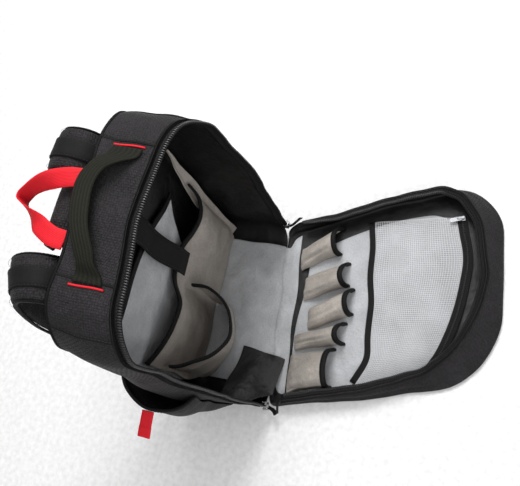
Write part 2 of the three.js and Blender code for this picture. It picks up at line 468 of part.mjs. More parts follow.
// Loose ends of tape from the body's zip to the front panel's, one at each end of the fold
const tapeEnd = (rim, station, along, out, z) => {
  const at = rim[stations.indexOf(station)];
  return at.p.clone().addScaledVector(at.u, along).addScaledVector(at.v, -out).setZ(z);
};
sweep('zip_end_tape_far', 'trim', frames(curve([tapeEnd(shellRim, 2, 6, -2.6, 21), tapeEnd(shellRim, 2, 17.93, 2.61, 25),
  tapeEnd(shellRim, 2, 28.63, 12.01, 31),
  tapeEnd(lidRim, 2, 6, 1.6, 34)].map((q) => q.toArray()), 8), UP), flat(9, 1.2));
sweep('zip_end_tape_near', 'trim', frames(curve([tapeEnd(shellRim, 8, 6, -2.6, 20), tapeEnd(shellRim, 8, 19.82, 3.31, 18),
  tapeEnd(shellRim, 8, 28.3, 10.95, 23),
  tapeEnd(lidRim, 8, 6, 0.6, 34)].map((q) => q.toArray()), 8), V(-0.6, 0, 0.8)), flat(9, 1.2));

export default group;
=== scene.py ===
"""Builds the visible form of a tool backpack, standing open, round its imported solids."""

import math

import bmesh
import bpy
import numpy as np
from mathutils import Matrix, Vector


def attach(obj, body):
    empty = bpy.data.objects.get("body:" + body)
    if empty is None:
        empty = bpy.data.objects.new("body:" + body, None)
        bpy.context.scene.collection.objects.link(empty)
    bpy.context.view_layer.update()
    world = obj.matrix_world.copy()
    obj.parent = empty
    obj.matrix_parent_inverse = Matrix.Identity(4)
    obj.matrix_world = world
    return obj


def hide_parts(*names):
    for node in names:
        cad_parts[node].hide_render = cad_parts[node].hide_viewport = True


bl_info = {
    "name": "Tool backpack",
    "version": (1, 0, 0),
    "blender": (4, 5, 0),
    "location": "View3D > Sidebar > Backpack",
    "description": "Makes the cloth, webbing, zips and studio of an open tool backpack",
    "category": "Object",
}

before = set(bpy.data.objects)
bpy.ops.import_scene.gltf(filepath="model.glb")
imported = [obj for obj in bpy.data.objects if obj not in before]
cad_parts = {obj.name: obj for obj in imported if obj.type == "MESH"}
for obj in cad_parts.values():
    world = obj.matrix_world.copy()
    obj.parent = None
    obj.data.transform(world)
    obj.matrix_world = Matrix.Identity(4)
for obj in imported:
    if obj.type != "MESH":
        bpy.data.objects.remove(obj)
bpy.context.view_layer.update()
MM = 0.001

# Main sizes in millimetres, as the solids have them
HALF_W, HEIGHT, TOP_DROP, BACK_Y, LOW_R, TOP_R = 160, 450, 19, 69.6, 28, 62
WALL, GAP, LINING, MESH_T = 3, 0.4, 1.6, 1
SIDE_BULGE, RIM_BULGE, TOP_SHIFT = (22, 11), 8, 7
LID_LENGTH, LID_HALF_W, LID_SHIFT, LID_END_R, LID_TAPER = 384, 171, -5, 104, 0.92
LID_YAW, HINGE_YAW, HINGE_GAP = math.radians(19.9), math.radians(5.4), 1.4
ZIP_ENDS = (2, 8)
FLOOR = WALL + GAP
POCKET_FLOOR = FLOOR + LINING + GAP
MOUTH_BACK = 11
UP = np.array([0.0, 0.0, 1.0])

# Station, place from back to front, of the shell's cloth edge
FRONT = [[0, -69], [1, -57], [1.6, -54], [2, -48], [2.13, -47], [2.5, -47], [2.8, -41], [3, -36], [3.5, -20],
         [4, -8], [5, -3], [6, -8], [6.5, -14], [7, -24], [7.3, -36], [7.6, -56], [7.75, -67], [7.87, -78],
         [8, -80], [8.2, -83], [9, -82], [10, -69]]
# Station, across, along, height of the front panel's cloth edge
LID_RIM = [[0, 0, 0.4, 3.8], [1, 148, 0.4, 3.8], [1.5, 160, 8, 14], [2, 163, 26, 28], [2.3, 160, 90, 34],
           [2.7, 166, 200, 35], [3, 164, 280, 35], [3.5, 142, 316, 34], [4, 92, 344, 33], [5, -4, 359, 33],
           [5.5, -56, 347, 30], [6, -98, 323, 27], [6.5, -128, 294, 26], [7, -150, 258, 27], [7.3, -159, 212, 29],
           [7.6, -161, 140, 31], [8, -160, 24, 28], [8.5, -156, 8, 14], [9, -148, 0.4, 3.8], [10, 0, 0.4, 3.8]]


def linear(code):
    """sRGB hex as linear RGBA."""
    parts = [((code >> shift) & 255) / 255 for shift in (16, 8, 0)]
    return tuple(c / 12.92 if c <= 0.04045 else ((c + 0.055) / 1.055) ** 2.4 for c in parts) + (1.0,)


def length_prop(name, description, value):
    """A size in millimetres that the user may change."""
    return bpy.props.FloatProperty(name=name, description=description, default=value * MM, min=0.0,
                                   unit="LENGTH", precision=4)


def colour_prop(name, description, code):
    """A colour that the user may change."""
    return bpy.props.FloatVectorProperty(name=name, description=description, default=linear(code), size=4,
                                         subtype="COLOR", min=0.0, max=1.0)


class BackpackSizes(bpy.types.PropertyGroup):
    """Sizes that a user would change."""

    rumple: length_prop("Rumple", "How far the soft walls wander from their drawn place", 1.8)
    thread: length_prop("Thread", "Thread spacing at which the shell's weave is drawn", 3.2)
    stitch: length_prop("Stitch", "Length of one sewn stitch", 3.0)
    tooth: length_prop("Tooth", "Spacing of the zip coil's turns", 3.2)
    mesh_hole: length_prop("Mesh hole", "Spacing of the holes in the mesh pocket", 3.4)
    puff: length_prop("Padding", "How far the strap padding may swell", 2.2)


class BackpackColours(bpy.types.PropertyGroup):
    """Colours that a user would change."""

    shell: colour_prop("Shell", "Outer cloth", 0x2B292B)
    trim: colour_prop("Trim", "Bindings, tapes and inner strap", 0x161516)
    webbing: colour_prop("Webbing", "Handle and strap webbing", 0x22221C)
    red: colour_prop("Red webbing", "Loop, tab and strips", 0xE5222F)
    light: colour_prop("Light lining", "Floor, panel and rear pocket lining", 0xB9BBBE)
    warm: colour_prop("Warm lining", "Pocket panels", 0xA8A19A)
    mesh: colour_prop("Mesh", "Mesh pocket", 0xF4F4F6)
    floor: colour_prop("Floor", "Studio floor", 0xFAFAFA)


# Numbers and tables


def mix(a, b, t):
    return a + (b - a) * t


def wave(t):
    return np.sin(np.pi * np.clip(t, 0, 1))


def ease(x, low, high):
    t = np.clip((x - low) / (high - low), 0, 1)
    return t * t * (3 - 2 * t)


def lookup(rows, station, column):
    table = np.array(rows, float)
    return np.interp(station, table[:, 0], table[:, column])


def unit(vectors):
    return vectors / np.maximum(np.linalg.norm(vectors, axis=-1, keepdims=True), 1e-9)


def curve(points, count):
    """Evenly spaced points on a smooth curve through the given ones."""
    p = np.array(points, float)
    p = np.vstack([2 * p[0] - p[1], p, 2 * p[-1] - p[-2]])
    dense = []
    for i in range(1, len(p) - 2):
        a, b, c, d = p[i - 1:i + 3]
        d0, d1, d2 = (max(np.linalg.norm(y - x), 1e-6) ** 0.5 for x, y in ((a, b), (b, c), (c, d)))
        t1 = ((b - a) / d0 - (c - a) / (d0 + d1) + (c - b) / d1) * d1
        t2 = ((c - b) / d1 - (d - b) / (d1 + d2) + (d - c) / d2) * d1
        t = np.linspace(0, 1, 40, endpoint=i == len(p) - 3)[:, None]
        dense.append(b + t1 * t + (-3 * b + 3 * c - 2 * t1 - t2) * t ** 2 + (2 * b - 2 * c + t1 + t2) * t ** 3)
    dense = np.vstack(dense)
    run = run_along(dense)
    return sample(dense, run, np.linspace(0, run[-1], count + 1))


def run_along(path):
    """Distance run at each point of a path."""
    return np.concatenate([[0], np.cumsum(np.linalg.norm(np.diff(path, axis=0), axis=1))])


def sample(values, run, at):
    """Rows of values taken at distances along their path."""
    return np.stack([np.interp(at, run, values[:, k]) for k in range(3)], axis=1)


def refine(net, times, axis):
    """A net with each of its spaces along one axis split, on smooth curves."""
    net = np.moveaxis(np.array(net, float), axis, 0)
    last = len(net) - 1
    out = []
    for i in range(last):
        a, b, c, d = (net[min(max(i + s, 0), last)] for s in (-1, 0, 1, 2))
        for t in np.arange(times) / times:
            out.append(0.5 * (2 * b + (c - a) * t + (2 * a - 5 * b + 4 * c - d) * t ** 2
                              + (3 * b - a - 3 * c + d) * t ** 3))
    out.append(net[-1])
    return np.moveaxis(np.array(out), 0, axis)


def normals(net, towards, closed=False):
    """Normals of a net, on the side of one point."""
    if closed:
        along = np.roll(net, -1, axis=1) - np.roll(net, 1, axis=1)
    else:
        along = np.gradient(net, axis=1)
    normal = unit(np.cross(along, np.gradient(net, axis=0)))
    side = np.sign(np.sum(normal * (np.array(towards, float) - net), axis=-1, keepdims=True))
    return normal * np.where(side == 0, 1, side)


def frames(path, wide, skewed=False):
    """Frames along a path: points, their width directions and the third directions."""
    path = np.array(path, float)
    step = unit(np.gradient(path, axis=0))
    wide = np.broadcast_to(np.array(wide, float), path.shape).copy()
    if not skewed:
        wide -= step * np.sum(wide * step, axis=1, keepdims=True)
    u = unit(wide)
    return path, u, unit(np.cross(step, u))


# Form of the body and the front panel

LEGS = (4, 4, 8, 6, 4, 4, 6, 8, 4, 4)
DENSE = 4


def outline(half_w, height, low_r, top_r):
    """Rounded outline standing on its lower edge, as x, z and station."""
    def arc(cx, cz, r, start):
        return lambda t: (cx + r * np.cos((start + t) * np.pi / 2), cz + r * np.sin((start + t) * np.pi / 2))
    legs = [
        lambda t: (mix(0, half_w - low_r, t), 0 * t),
        arc(half_w - low_r, low_r, low_r, -1),
        lambda t: (half_w + 0 * t, mix(low_r, height - top_r, t)),
        arc(half_w - top_r, height - top_r, top_r, 0),
        lambda t: (mix(half_w - top_r, 0, t), height + 0 * t),
        lambda t: (mix(0, top_r - half_w, t), height + 0 * t),
        arc(top_r - half_w, height - top_r, top_r, 1),
        lambda t: (-half_w + 0 * t, mix(height - top_r, low_r, t)),
        arc(low_r - half_w, low_r, low_r, 2),
        lambda t: (mix(low_r - half_w, 0, t), 0 * t),
    ]
    xs, zs, stations = [], [], []
    for i, leg in enumerate(legs):
        t = np.arange(LEGS[i] * DENSE) / (LEGS[i] * DENSE)
        x, z = leg(t)
        xs.append(x)
        zs.append(z)
        stations.append(i + t)
    return np.concatenate(xs), np.concatenate(zs), np.concatenate(stations)


STATIONS = outline(HALF_W, HEIGHT, LOW_R, TOP_R)[2]


def side_out(share, z, far):
    middle = np.where(far, SIDE_BULGE[1], SIDE_BULGE[0]) * wave(share)
    return wave(z / HEIGHT) * (middle + RIM_BULGE * np.minimum(share, 1) ** 2)


def lean_x(z):
    return TOP_SHIFT * z / HEIGHT


def back_ring(inset, y):
    x, z, _ = outline(HALF_W - inset, HEIGHT - 2 * inset, max(LOW_R - inset, 4), max(TOP_R - inset, 6))
    return np.stack([x + lean_x(z), BACK_Y + y + 0 * x, z + inset], axis=1)


def soft_ends(values):
    """A ring of values with its corners eased."""
    for _ in range(2 * DENSE):
        values = 0.25 * np.roll(values, 1) + 0.5 * values + 0.25 * np.roll(values, -1)
    return values


def gusset_ring(share, inset=0.0):
    x, z, station = outline(HALF_W, HEIGHT, LOW_R, TOP_R)
    out = np.sign(x) * side_out(share, z, x > 0) * ease(np.abs(x), 0, HALF_W)
    drop = TOP_DROP * share * ease(z, HEIGHT * 0.5, HEIGHT)
    front = soft_ends(lookup(FRONT, station, 1))
    return np.stack([x + out + lean_x(z), mix(BACK_Y - 5, front, share), z - drop], axis=1)


AX = np.array([math.cos(HINGE_YAW), math.sin(HINGE_YAW), 0.0])
AY = np.array([math.sin(LID_YAW), -math.cos(LID_YAW), 0.0])


def on_lid(x, along, z):
    x, along, z = np.broadcast_arrays(*(np.asarray(v, float) for v in (x, along, z)))
    return (np.array([0, -BACK_Y, 0]) + AX * x[..., None] + AY * (along + HINGE_GAP)[..., None]
            + UP * z[..., None])


LID_MIDDLE = on_lid(0, LID_LENGTH / 2, 60)


def lid_outline(inset):
    x, z, station = outline(LID_HALF_W - inset, LID_LENGTH - 2 * inset, max(20 - inset, 4),
                            max(LID_END_R - inset, 8))
    taper = mix(LID_TAPER, 1, ease(z, 0, LID_LENGTH / 2))
    return (x + LID_SHIFT) * taper, z + inset, station


def lid_ring(share):
    """Ring up the wall of the front panel, from its floor edge to its cloth edge."""
    x, along, station = lid_outline(0)
    edge = [soft_ends(lookup(LID_RIM, station, column)) for column in (1, 2, 3)]
    rise = mix(np.minimum(5, edge[2] * 0.3), edge[2], share)
    lean = share ** 1.25
    return on_lid(mix(x, edge[0], lean), mix(along, edge[1], lean), rise)


def lid_base(inset, z):
    x, along, station = lid_outline(inset)
    return on_lid(x, along, np.minimum(z, soft_ends(lookup(LID_RIM, station, 3)) * 0.3))


def rim_frames(rings, inside):
    """Zipped part of a shell's cloth edge: points, directions beyond it and directions into it."""
    zipped = (STATIONS >= ZIP_ENDS[0]) & (STATIONS <= ZIP_ENDS[1])
    inward = normals(rings, inside, closed=True)[-1]
    return settle(rings[-1][zipped]), unit(rings[-1] - rings[-2])[zipped], inward[zipped]


# Softness: one field moves neighbouring pieces together, so nothing parts or cuts through

CALM = [(161, -57, 35), (-161, -89, 35), (213, -352, 12)]
RANDOM = np.random.default_rng(7)
WAVES = [(unit(RANDOM.normal(size=3)) * 2 * np.pi / RANDOM.uniform(42, 150), RANDOM.uniform(0, 6.28),
          unit(RANDOM.normal(size=3))) for _ in range(22)]
# From, to, half width, push: creases that the standing pack shows
FOLDS = [
    ((168, -30, 330), (150, 40, 250), 15, (-5, 0, 0)),
    ((172, -35, 240), (160, 45, 190), 18, (-4, 0, 2)),
    ((168, -40, 130), (158, 30, 60), 16, (-5, 0, 0)),
    ((-172, -40, 330), (-168, 45, 300), 14, (4, 0, 0)),
    ((-176, -60, 170), (-174, 0, 120), 14, (5, 0, 0)),
    ((60, 60, 446), (20, 5, 436), 13, (0, 0, -2.5)),
    ((-60, 60, 446), (-30, 5, 436), 12, (0, 0, -2)),
]


def settle(points, rumple=None):
    """Points moved as soft cloth would stand: slow waves and named creases."""
    p = np.array(points, float)
    height = bpy.context.scene.backpack_sizes.rumple / MM if rumple is None else rumple
    move = np.zeros_like(p)
    for k, phase, way in WAVES:
        move += np.sin(p @ k + phase)[..., None] * way * height * 0.42
    for a, b, width, push in FOLDS:
        a, b = np.array(a, float), np.array(b, float)
        t = np.clip(((p - a) @ (b - a)) / np.dot(b - a, b - a), 0, 1)
        away = np.linalg.norm(p - (a + t[..., None] * (b - a)), axis=-1)
        move += (np.exp(-(away / width) ** 2) * wave(0.1 + 0.8 * t))[..., None] * np.array(push, float)
    for spot in CALM:
        away = np.linalg.norm(p - np.array(spot, float), axis=-1)
        move *= (1 - np.exp(-(away / 26) ** 2))[..., None]
    move[..., 2] *= ease(p[..., 2], 2, 60)
    move[..., :2] *= ease(p[..., 2], -12, 12)[..., None]
    return p + move


# Meshes


def make_object(name, vertices, faces, uvs=None):
    """A smooth mesh object from points in millimetres, with a UV map in metres."""
    data = bpy.data.meshes.new(name)
    data.from_pydata((np.asarray(vertices, float) * MM).tolist(), [], faces)
    if uvs is not None:
        layer = data.uv_layers.new(name="cloth")
        layer.data.foreach_set("uv", (np.array([c for face in uvs for c in face], float) * MM).ravel())
    data.validate()
    data.polygons.foreach_set("use_smooth", [True] * len(data.polygons))
    made = bpy.data.objects.new(name, data)
    bpy.context.scene.collection.objects.link(made)
    return made


def grid_object(name, grid, closed=False, centre=False):
    """A mesh from rows of points; closed rows join round, and centre fills the first row."""
    rows, count = grid.shape[:2]
    steps = np.linalg.norm(np.roll(grid, -1, axis=1) - grid, axis=-1)
    across = np.concatenate([np.zeros((rows, 1)), np.cumsum(steps, axis=1)], axis=1)
    across = np.broadcast_to(across[rows // 2], across.shape)
    rise = np.linalg.norm(np.diff(grid, axis=0), axis=-1)
    up = np.vstack([np.zeros((1, count)), np.cumsum(rise, axis=0)])
    faces, uvs = [], []
    for r in range(rows - 1):
        for k in range(count if closed else count - 1):
            n = (k + 1) % count
            faces.append((r * count + k, r * count + n, (r + 1) * count + n, (r + 1) * count + k))
            uvs.append([(across[r][k], up[r][k]), (across[r][k + 1], up[r][n]),
                        (across[r + 1][k + 1], up[r + 1][n]), (across[r + 1][k], up[r + 1][k])])
    points = grid.reshape(-1, 3)
    if centre:
        points = np.vstack([points, grid[0].mean(axis=0)])
        for k in range(count):
            n = (k + 1) % count
            faces.append((n, k, len(points) - 1))
            uvs.append([(grid[0][n][0], grid[0][n][2]), (grid[0][k][0], grid[0][k][2]),
                        (points[-1][0], points[-1][2])])
    return make_object(name, points, faces, uvs)


def sweep_object(name, path, u, v, sections):
    """A closed body that carries a section, or one section for each frame, along frames."""
    sections = np.array(sections, float)
    if sections.ndim == 2:
        sections = np.broadcast_to(sections, (len(path),) + sections.shape)
    grid = path[:, None] + sections[..., :1] * u[:, None] + sections[..., 1:] * v[:, None]
    rows, count = grid.shape[:2]
    made = grid_object(name, grid, closed=True)
    data = made.data
    bm = bmesh.new()
    bm.from_mesh(data)
    bm.verts.ensure_lookup_table()
    for first, turn in ((0, -1), ((rows - 1) * count, 1)):
        bm.faces.new([bm.verts[first + k] for k in range(count)][::turn])
    bmesh.ops.recalc_face_normals(bm, faces=bm.faces)
    bm.to_mesh(data)
    bm.free()
    return made


def rounded(wide, thick, corner=0.4):
    """A flat band's section with soft edges."""
    a, b, c = wide / 2, thick / 2, min(corner, thick / 2) * 0.99
    return [[-a, -b + c], [-a + c, -b], [-a * 0.5, -b], [0, -b], [a * 0.5, -b], [a - c, -b], [a, -b + c],
            [a, b - c], [a - c, b], [a * 0.5, b], [0, b], [-a * 0.5, b], [-a + c, b], [-a, b - c]]


def thickened(line, thick):
    """The section of a tape that follows a line."""
    line = np.array(line, float)
    way = unit(np.gradient(line, axis=0))
    side = np.stack([-way[:, 1], way[:, 0]], axis=1) * thick / 2
    return np.vstack([line - side, (line + side)[::-1]])


def cushion(wide, thick):
    """A padded strap's section, full in the middle and thinner at its sewn edges."""
    t = np.linspace(-1, 1, 15)
    half = thick / 2 * (0.55 + 0.45 * np.sqrt(np.maximum(1 - np.abs(t) ** 3.2, 0)))
    top = np.stack([t * wide / 2, half], axis=1)
    return np.vstack([top * [1, -1], top[::-1]])


def modifier(made, kind, **settings):
    added = made.modifiers.new(kind.title(), kind)
    for key, value in settings.items():
        setattr(added, key, value)
    return added


def dress(made, material, slot, *nodes):
    """Gives a piece its material, sets it on the pack and shows it in place of its solids. Its slot is not used."""
    made.data.materials.clear()
    made.data.materials.append(material)
    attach(made, "pack")
    if nodes:
        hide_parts(*nodes)
    return made


def cloth(name, net, thick, towards, material, slot, *nodes, held="hung", rests_on=("pack_body",)):
    """A cloth piece on one side of a net, and the normals of that net."""
    away = normals(net, towards)
    grid = settle(net + away * thick / 2)
    made = grid_object(name, grid)
    modifier(made, "SOLIDIFY", thickness=thick * MM, offset=0, use_even_offset=True)
    modifier(made, "SUBSURF", levels=1, render_levels=1)
    dress(made, material, slot, *nodes)
    return made, away


def binding(name, net, away, thick, deep, material, *nodes, lift=GAP):
    """A folded tape over the last row of a net."""
    inner, outer = thick / 2 + GAP, thick / 2 + GAP + 1
    section = [[-outer, -deep], [-outer, -deep / 2], [-outer, lift], [-outer * 0.6, lift + 0.9], [0, lift + 1.1],
               [outer * 0.6, lift + 0.9], [outer, lift], [outer, -deep / 2], [outer, -deep],
               [inner, -deep], [inner, -deep / 2], [inner, lift * 0.4], [0, lift], [-inner, lift * 0.4],
               [-inner, -deep / 2], [-inner, -deep]]
    path = settle(net[-1] + away[-1] * thick / 2)
    v = unit(net[-1] - net[-2])
    made = sweep_object(name, path, away[-1], v, section)
    row = [settle(net[-1] + away[-1] * (thick / 2 + side * outer) - v * (deep - 1.6)) for side in (-1, 1)]
    stitch_rows(name + "_stitches", [(r, away[-1]) for r in row], material)
    return dress(made, material, "black_trim", *nodes)


def bars(count):
    """Faces of small closed bars, each of four rings of four points."""
    faces = []
    for base in range(0, count * 16, 16):
        for r in (0, 4, 8):
            for k in range(4):
                n = (k + 1) % 4
                faces.append((base + r + k, base + r + n, base + r + 4 + n, base + r + 4 + k))
        faces += [(base + 3, base + 2, base + 1, base), (base + 12, base + 13, base + 14, base + 15)]
    return faces


def stitch_rows(name, rows, material, spacing=1.45, radius=0.34):
    """Rows of thread, each a path with the direction out of its cloth, as one mesh."""
    long = bpy.context.scene.backpack_sizes.stitch / MM
    blocks = []
    for path, out in rows:
        path, out = np.array(path, float), np.broadcast_to(np.array(out, float), np.shape(path))
        run = run_along(path)
        starts = np.arange(0, run[-1] - long, long * spacing)
        if not len(starts):
            continue
        first, last = (sample(path, run, s) for s in (starts, starts + long))
        up = unit(sample(out, run, starts + long / 2))
        side = unit(np.cross(unit(last - first), up))
        blocks.append(np.stack([
            mix(first, last, t) + (side * a + up * b * 0.9) * radius * fat
            for t, fat in ((0, 0.25), (0.25, 1), (0.75, 1), (1, 0.25))
            for a, b in ((1, 0), (0, 1), (-1, 0), (0, -1))], axis=1).reshape(-1, 3))
    if not blocks:
        return None
    points = np.vstack(blocks)
    return dress(make_object(name, points, bars(len(points) // 16)), material, "black_trim")


# Materials


def add(tree, kind, settings=None, links=None):
    """Adds a node with its settings, which are sockets or properties, and its links."""
    made = tree.nodes.new(kind)
    for key, value in (settings or {}).items():
        if isinstance(key, int) or key in made.inputs:
            made.inputs[key].default_value = value
        else:
            setattr(made, key, value)
    for key, socket in (links or {}).items():
        tree.links.new(socket, made.inputs[key])
    return made


def start_material(name, **settings):
    made = bpy.data.materials.new(name)
    made.use_nodes = True
    tree = made.node_tree
    shader = tree.nodes["Principled BSDF"]
    for key, value in settings.items():
        shader.inputs[key.replace("_", " ")].default_value = value
    return made, tree, shader


def noise(tree, place, grain_mm, detail):
    """Noise with grains of a size in millimetres."""
    return add(tree, "ShaderNodeTexNoise", {"Scale": 1 / (grain_mm * MM), "Detail": detail},
               {"Vector": place}).outputs["Fac"]


def ranged(tree, value, low, high, start=0.3, end=0.7):
    """A value's middle part, stretched to lie between two others."""
    return add(tree, "ShaderNodeMapRange", {"From Min": start, "From Max": end, "To Min": low, "To Max": high},
               {"Value": value}).outputs[0]


def tinted(tree, shader, colour, shade):
    """One colour for the surface, made lighter and darker by a shade."""
    tint = add(tree, "ShaderNodeVectorMath", {"operation": "SCALE", 0: tuple(colour[:3])}, {"Scale": shade})
    tree.links.new(tint.outputs[0], shader.inputs["Base Color"])


def bump(tree, height, depth, **links):
    """Relief with a depth in millimetres."""
    return add(tree, "ShaderNodeBump", {"Strength": 1.0, "Distance": depth * MM},
               {"Height": height, **links}).outputs[0]


def woven(name, colour, pitch, depth, contrast, crease, **settings):
    """Cloth woven over and under: threads at a spacing in millimetres, with slow creases in its surface. Its colour
    is lighter on the threads' and creases' tops and darker in their hollows: painted highlight and painted shade,
    over a tone that differs at random.
    """
    made, tree, shader = start_material(name, **settings)
    uv = add(tree, "ShaderNodeTexCoord").outputs["UV"]
    bands = [add(tree, "ShaderNodeTexWave", {"Scale": 0.314 / (pitch * MM), "bands_direction": way,
                                             "Distortion": 0.6, "Detail": 1.0}, {"Vector": uv}).outputs["Fac"]
             for way in ("X", "Y")]
    over = add(tree, "ShaderNodeTexChecker", {"Scale": 1 / (pitch * MM)}, {"Vector": uv})
    weave = add(tree, "ShaderNodeMix", {"data_type": "FLOAT"},
                {"Factor": over.outputs["Fac"], 2: bands[0], 3: bands[1]}).outputs[0]
    place = add(tree, "ShaderNodeTexCoord").outputs["Object"]
    slow, grain = noise(tree, place, 45, 4.0), noise(tree, place, 2.6, 3.0)
    # The weave's height lightens the threads' tops and darkens the gaps between them: painted highlight and painted
    # shade.
    total = add(tree, "ShaderNodeMath", {"operation": "MULTIPLY_ADD", 1: contrast, 2: 1 - contrast * 0.62},
                {0: weave}).outputs[0]
    # The slow noise also raises the creases, so the colour is darker in their hollows and lighter on their ridges:
    # painted shade and painted highlight over a slow tone that differs at random. The fine grain is a random speckle.
    for factor in (ranged(tree, grain, 1 - contrast, 1 + contrast), ranged(tree, slow, 0.86, 1.16)):
        total = add(tree, "ShaderNodeMath", {"operation": "MULTIPLY"}, {0: total, 1: factor}).outputs[0]
    tinted(tree, shader, colour, total)
    threads = bump(tree, weave, depth, Normal=bump(tree, slow, crease))
    tree.links.new(threads, shader.inputs["Normal"])
    return made


def ribbed(name, colour, rib, pick, depth, contrast, **settings):
    """Narrow webbing: ribs along it and picks across it, at spacings in millimetres."""
    made, tree, shader = start_material(name, **settings)
    uv = add(tree, "ShaderNodeTexCoord").outputs["UV"]
    ribs = add(tree, "ShaderNodeTexWave", {"Scale": 0.314 / (rib * MM), "bands_direction": "X"}, {"Vector": uv})
    picks = add(tree, "ShaderNodeTexWave", {"Scale": 0.314 / (pick * MM), "bands_direction": "Y",
                                            "Distortion": 1.2, "Detail": 1.0}, {"Vector": uv})
    height = add(tree, "ShaderNodeMix", {"data_type": "FLOAT", "Factor": 0.35},
                 {2: ribs.outputs["Fac"], 3: picks.outputs["Fac"]}).outputs[0]
    grain = noise(tree, add(tree, "ShaderNodeTexCoord").outputs["Object"], 3, 3.0)
    mixed = add(tree, "ShaderNodeMix", {"data_type": "FLOAT", "Factor": 0.4}, {2: height, 3: grain}).outputs[0]
    # The ribs' height also lightens the colour on their tops: a painted highlight beside the bump; the grain mixed in
    # is a random tone.
    tinted(tree, shader, colour, ranged(tree, mixed, 1 - contrast, 1 + contrast, 0.15, 0.85))
    tree.links.new(bump(tree, height, depth), shader.inputs["Normal"])
    return made


def grained(name, colour, grain_mm, depth, rough, **settings):
    """Hard surface with a fine uneven skin: a grain in millimetres drives its bump and gloss."""
    made, tree, shader = start_material(name, **settings)
    grain = noise(tree, add(tree, "ShaderNodeTexCoord").outputs["Object"], grain_mm, 5.0)
    tree.links.new(ranged(tree, grain, rough * 0.75, rough * 1.25), shader.inputs["Roughness"])
    tinted(tree, shader, colour, ranged(tree, grain, 0.9, 1.06))
    tree.links.new(bump(tree, grain, depth), shader.inputs["Normal"])
    return made


MATERIALS = {}


def material(key):
    """The material of that name, made when it is first asked for."""
    if key in MATERIALS:
        return MATERIALS[key]
    colours = bpy.context.scene.backpack_colours
    thread = bpy.context.scene.backpack_sizes.thread / MM
    if key == "shell":
        # 600-denier polyester, plain woven and matt: coarse dark threads with a painted highlight of faint grey on
        # their tops.
        # Real threads lie 0.6 mm apart, finer than a pixel of the picture, so they are drawn coarser
        made = woven("woven_polyester", colours.shell, thread, 0.45, 0.34, 11.0, Roughness=0.66, Sheen_Weight=0.03,
                     Sheen_Roughness=0.4, Specular_IOR_Level=0.16)
    elif key == "trim":
        # Polyester binding tape, woven fine: near black, with a soft line of light along each fold
        made = woven("woven_binding_tape", colours.trim, 1.2, 0.15, 0.25, 1.0, Roughness=0.6,
                     Specular_IOR_Level=0.18)
    elif key == "webbing":
        # Polyester webbing, woven with lengthwise ribs: olive black, each rib catching the light
        made = ribbed("ribbed_webbing", colours.webbing, 4.4, 1.6, 0.7, 0.45, Roughness=0.75,
                      Specular_IOR_Level=0.15)
    elif key == "red":
        # Polyester webbing, dyed and woven flat: clear red with fine cross picks
        made = ribbed("dyed_webbing", colours.red, 1.8, 1.4, 0.25, 0.14, Roughness=0.6, Specular_IOR_Level=0.2)
    elif key == "light":
        # Nylon lining, woven and coated: pale grey, satin, with soft creases
        made = woven("coated_nylon_light", colours.light, 1.5, 0.12, 0.10, 9.0, Roughness=0.5,
                     Specular_IOR_Level=0.35)
    elif key == "satin":
        # Nylon lining, woven fine and coated black: a soft sheen runs down its folds
        made = woven("coated_nylon_black", linear(0x101011), 1.3, 0.08, 0.15, 6.0, Roughness=0.4,
                     Specular_IOR_Level=0.35)
    elif key == "warm":
        # Nylon lining in a warmer grey, the same cloth
        made = woven("coated_nylon_warm", colours.warm, 1.5, 0.12, 0.12, 9.0, Roughness=0.55,
                     Specular_IOR_Level=0.3)
    elif key == "mesh":
        # Polyester netting, knitted white: thin matt strands round square holes, drawn larger than the real ones
        made = grained("knitted_netting", colours.mesh, 1.5, 0.1, 0.6, Sheen_Weight=0.1)
    elif key == "thread":
        # Sewing thread, twisted nylon: black with a slight shine
        made = grained("sewing_thread", linear(0x2A2A2B), 0.8, 0.05, 0.5)
    elif key == "coil":
        # Nylon zip coil, drawn and wound: dark and glossy, so each turn carries a small light.
        # Its turns are drawn wider apart than the real 1.6 mm for the same reason as the threads
        made = grained("nylon_coil", linear(0x29292B), 0.9, 0.04, 0.3, Specular_IOR_Level=0.6)
    elif key == "metal":
        # Zinc die casting, nickel plated: bright grey with slightly uneven gloss
        made = grained("nickel_plated_zinc", linear(0xC9CACD), 2.2, 0.05, 0.24, Metallic=1.0)
    elif key == "gunmetal":
        # Zinc die casting, plated black: dark grey with soft lights on its edges
        made = grained("black_plated_zinc", linear(0x7A7B7E), 2.2, 0.05, 0.34, Metallic=1.0)
    elif key == "plastic":
        # Acetal, injection moulded: black, matt satin with a fine spark texture
        made = grained("moulded_acetal", linear(0x19191A), 0.7, 0.08, 0.45)
    else:
        raise KeyError(key)
    MATERIALS[key] = made
    return made


# Pieces


def body_rings():
    back = [(150, 0), (120, 0), (90, 0), (60, 0), (36, 0), (18, 0), (9, 0), (5, -0.4), (3, -1), (1.4, -2.2),
            (0.4, -4)]
    return np.array([back_ring(*row) for row in back] + [gusset_ring(s) for s in np.linspace(0.06, 1, 26)])


def lid_rings():
    base = [(140, 0), (110, 0), (80, 0), (50, 0), (30, 0), (16, 0), (9, 0), (5.5, 0.5), (3, 1.4), (1.2, 3),
            (0.2, 5)]
    return np.array([lid_base(*row) for row in base] + [lid_ring(s) for s in np.linspace(0.1, 1, 14)])


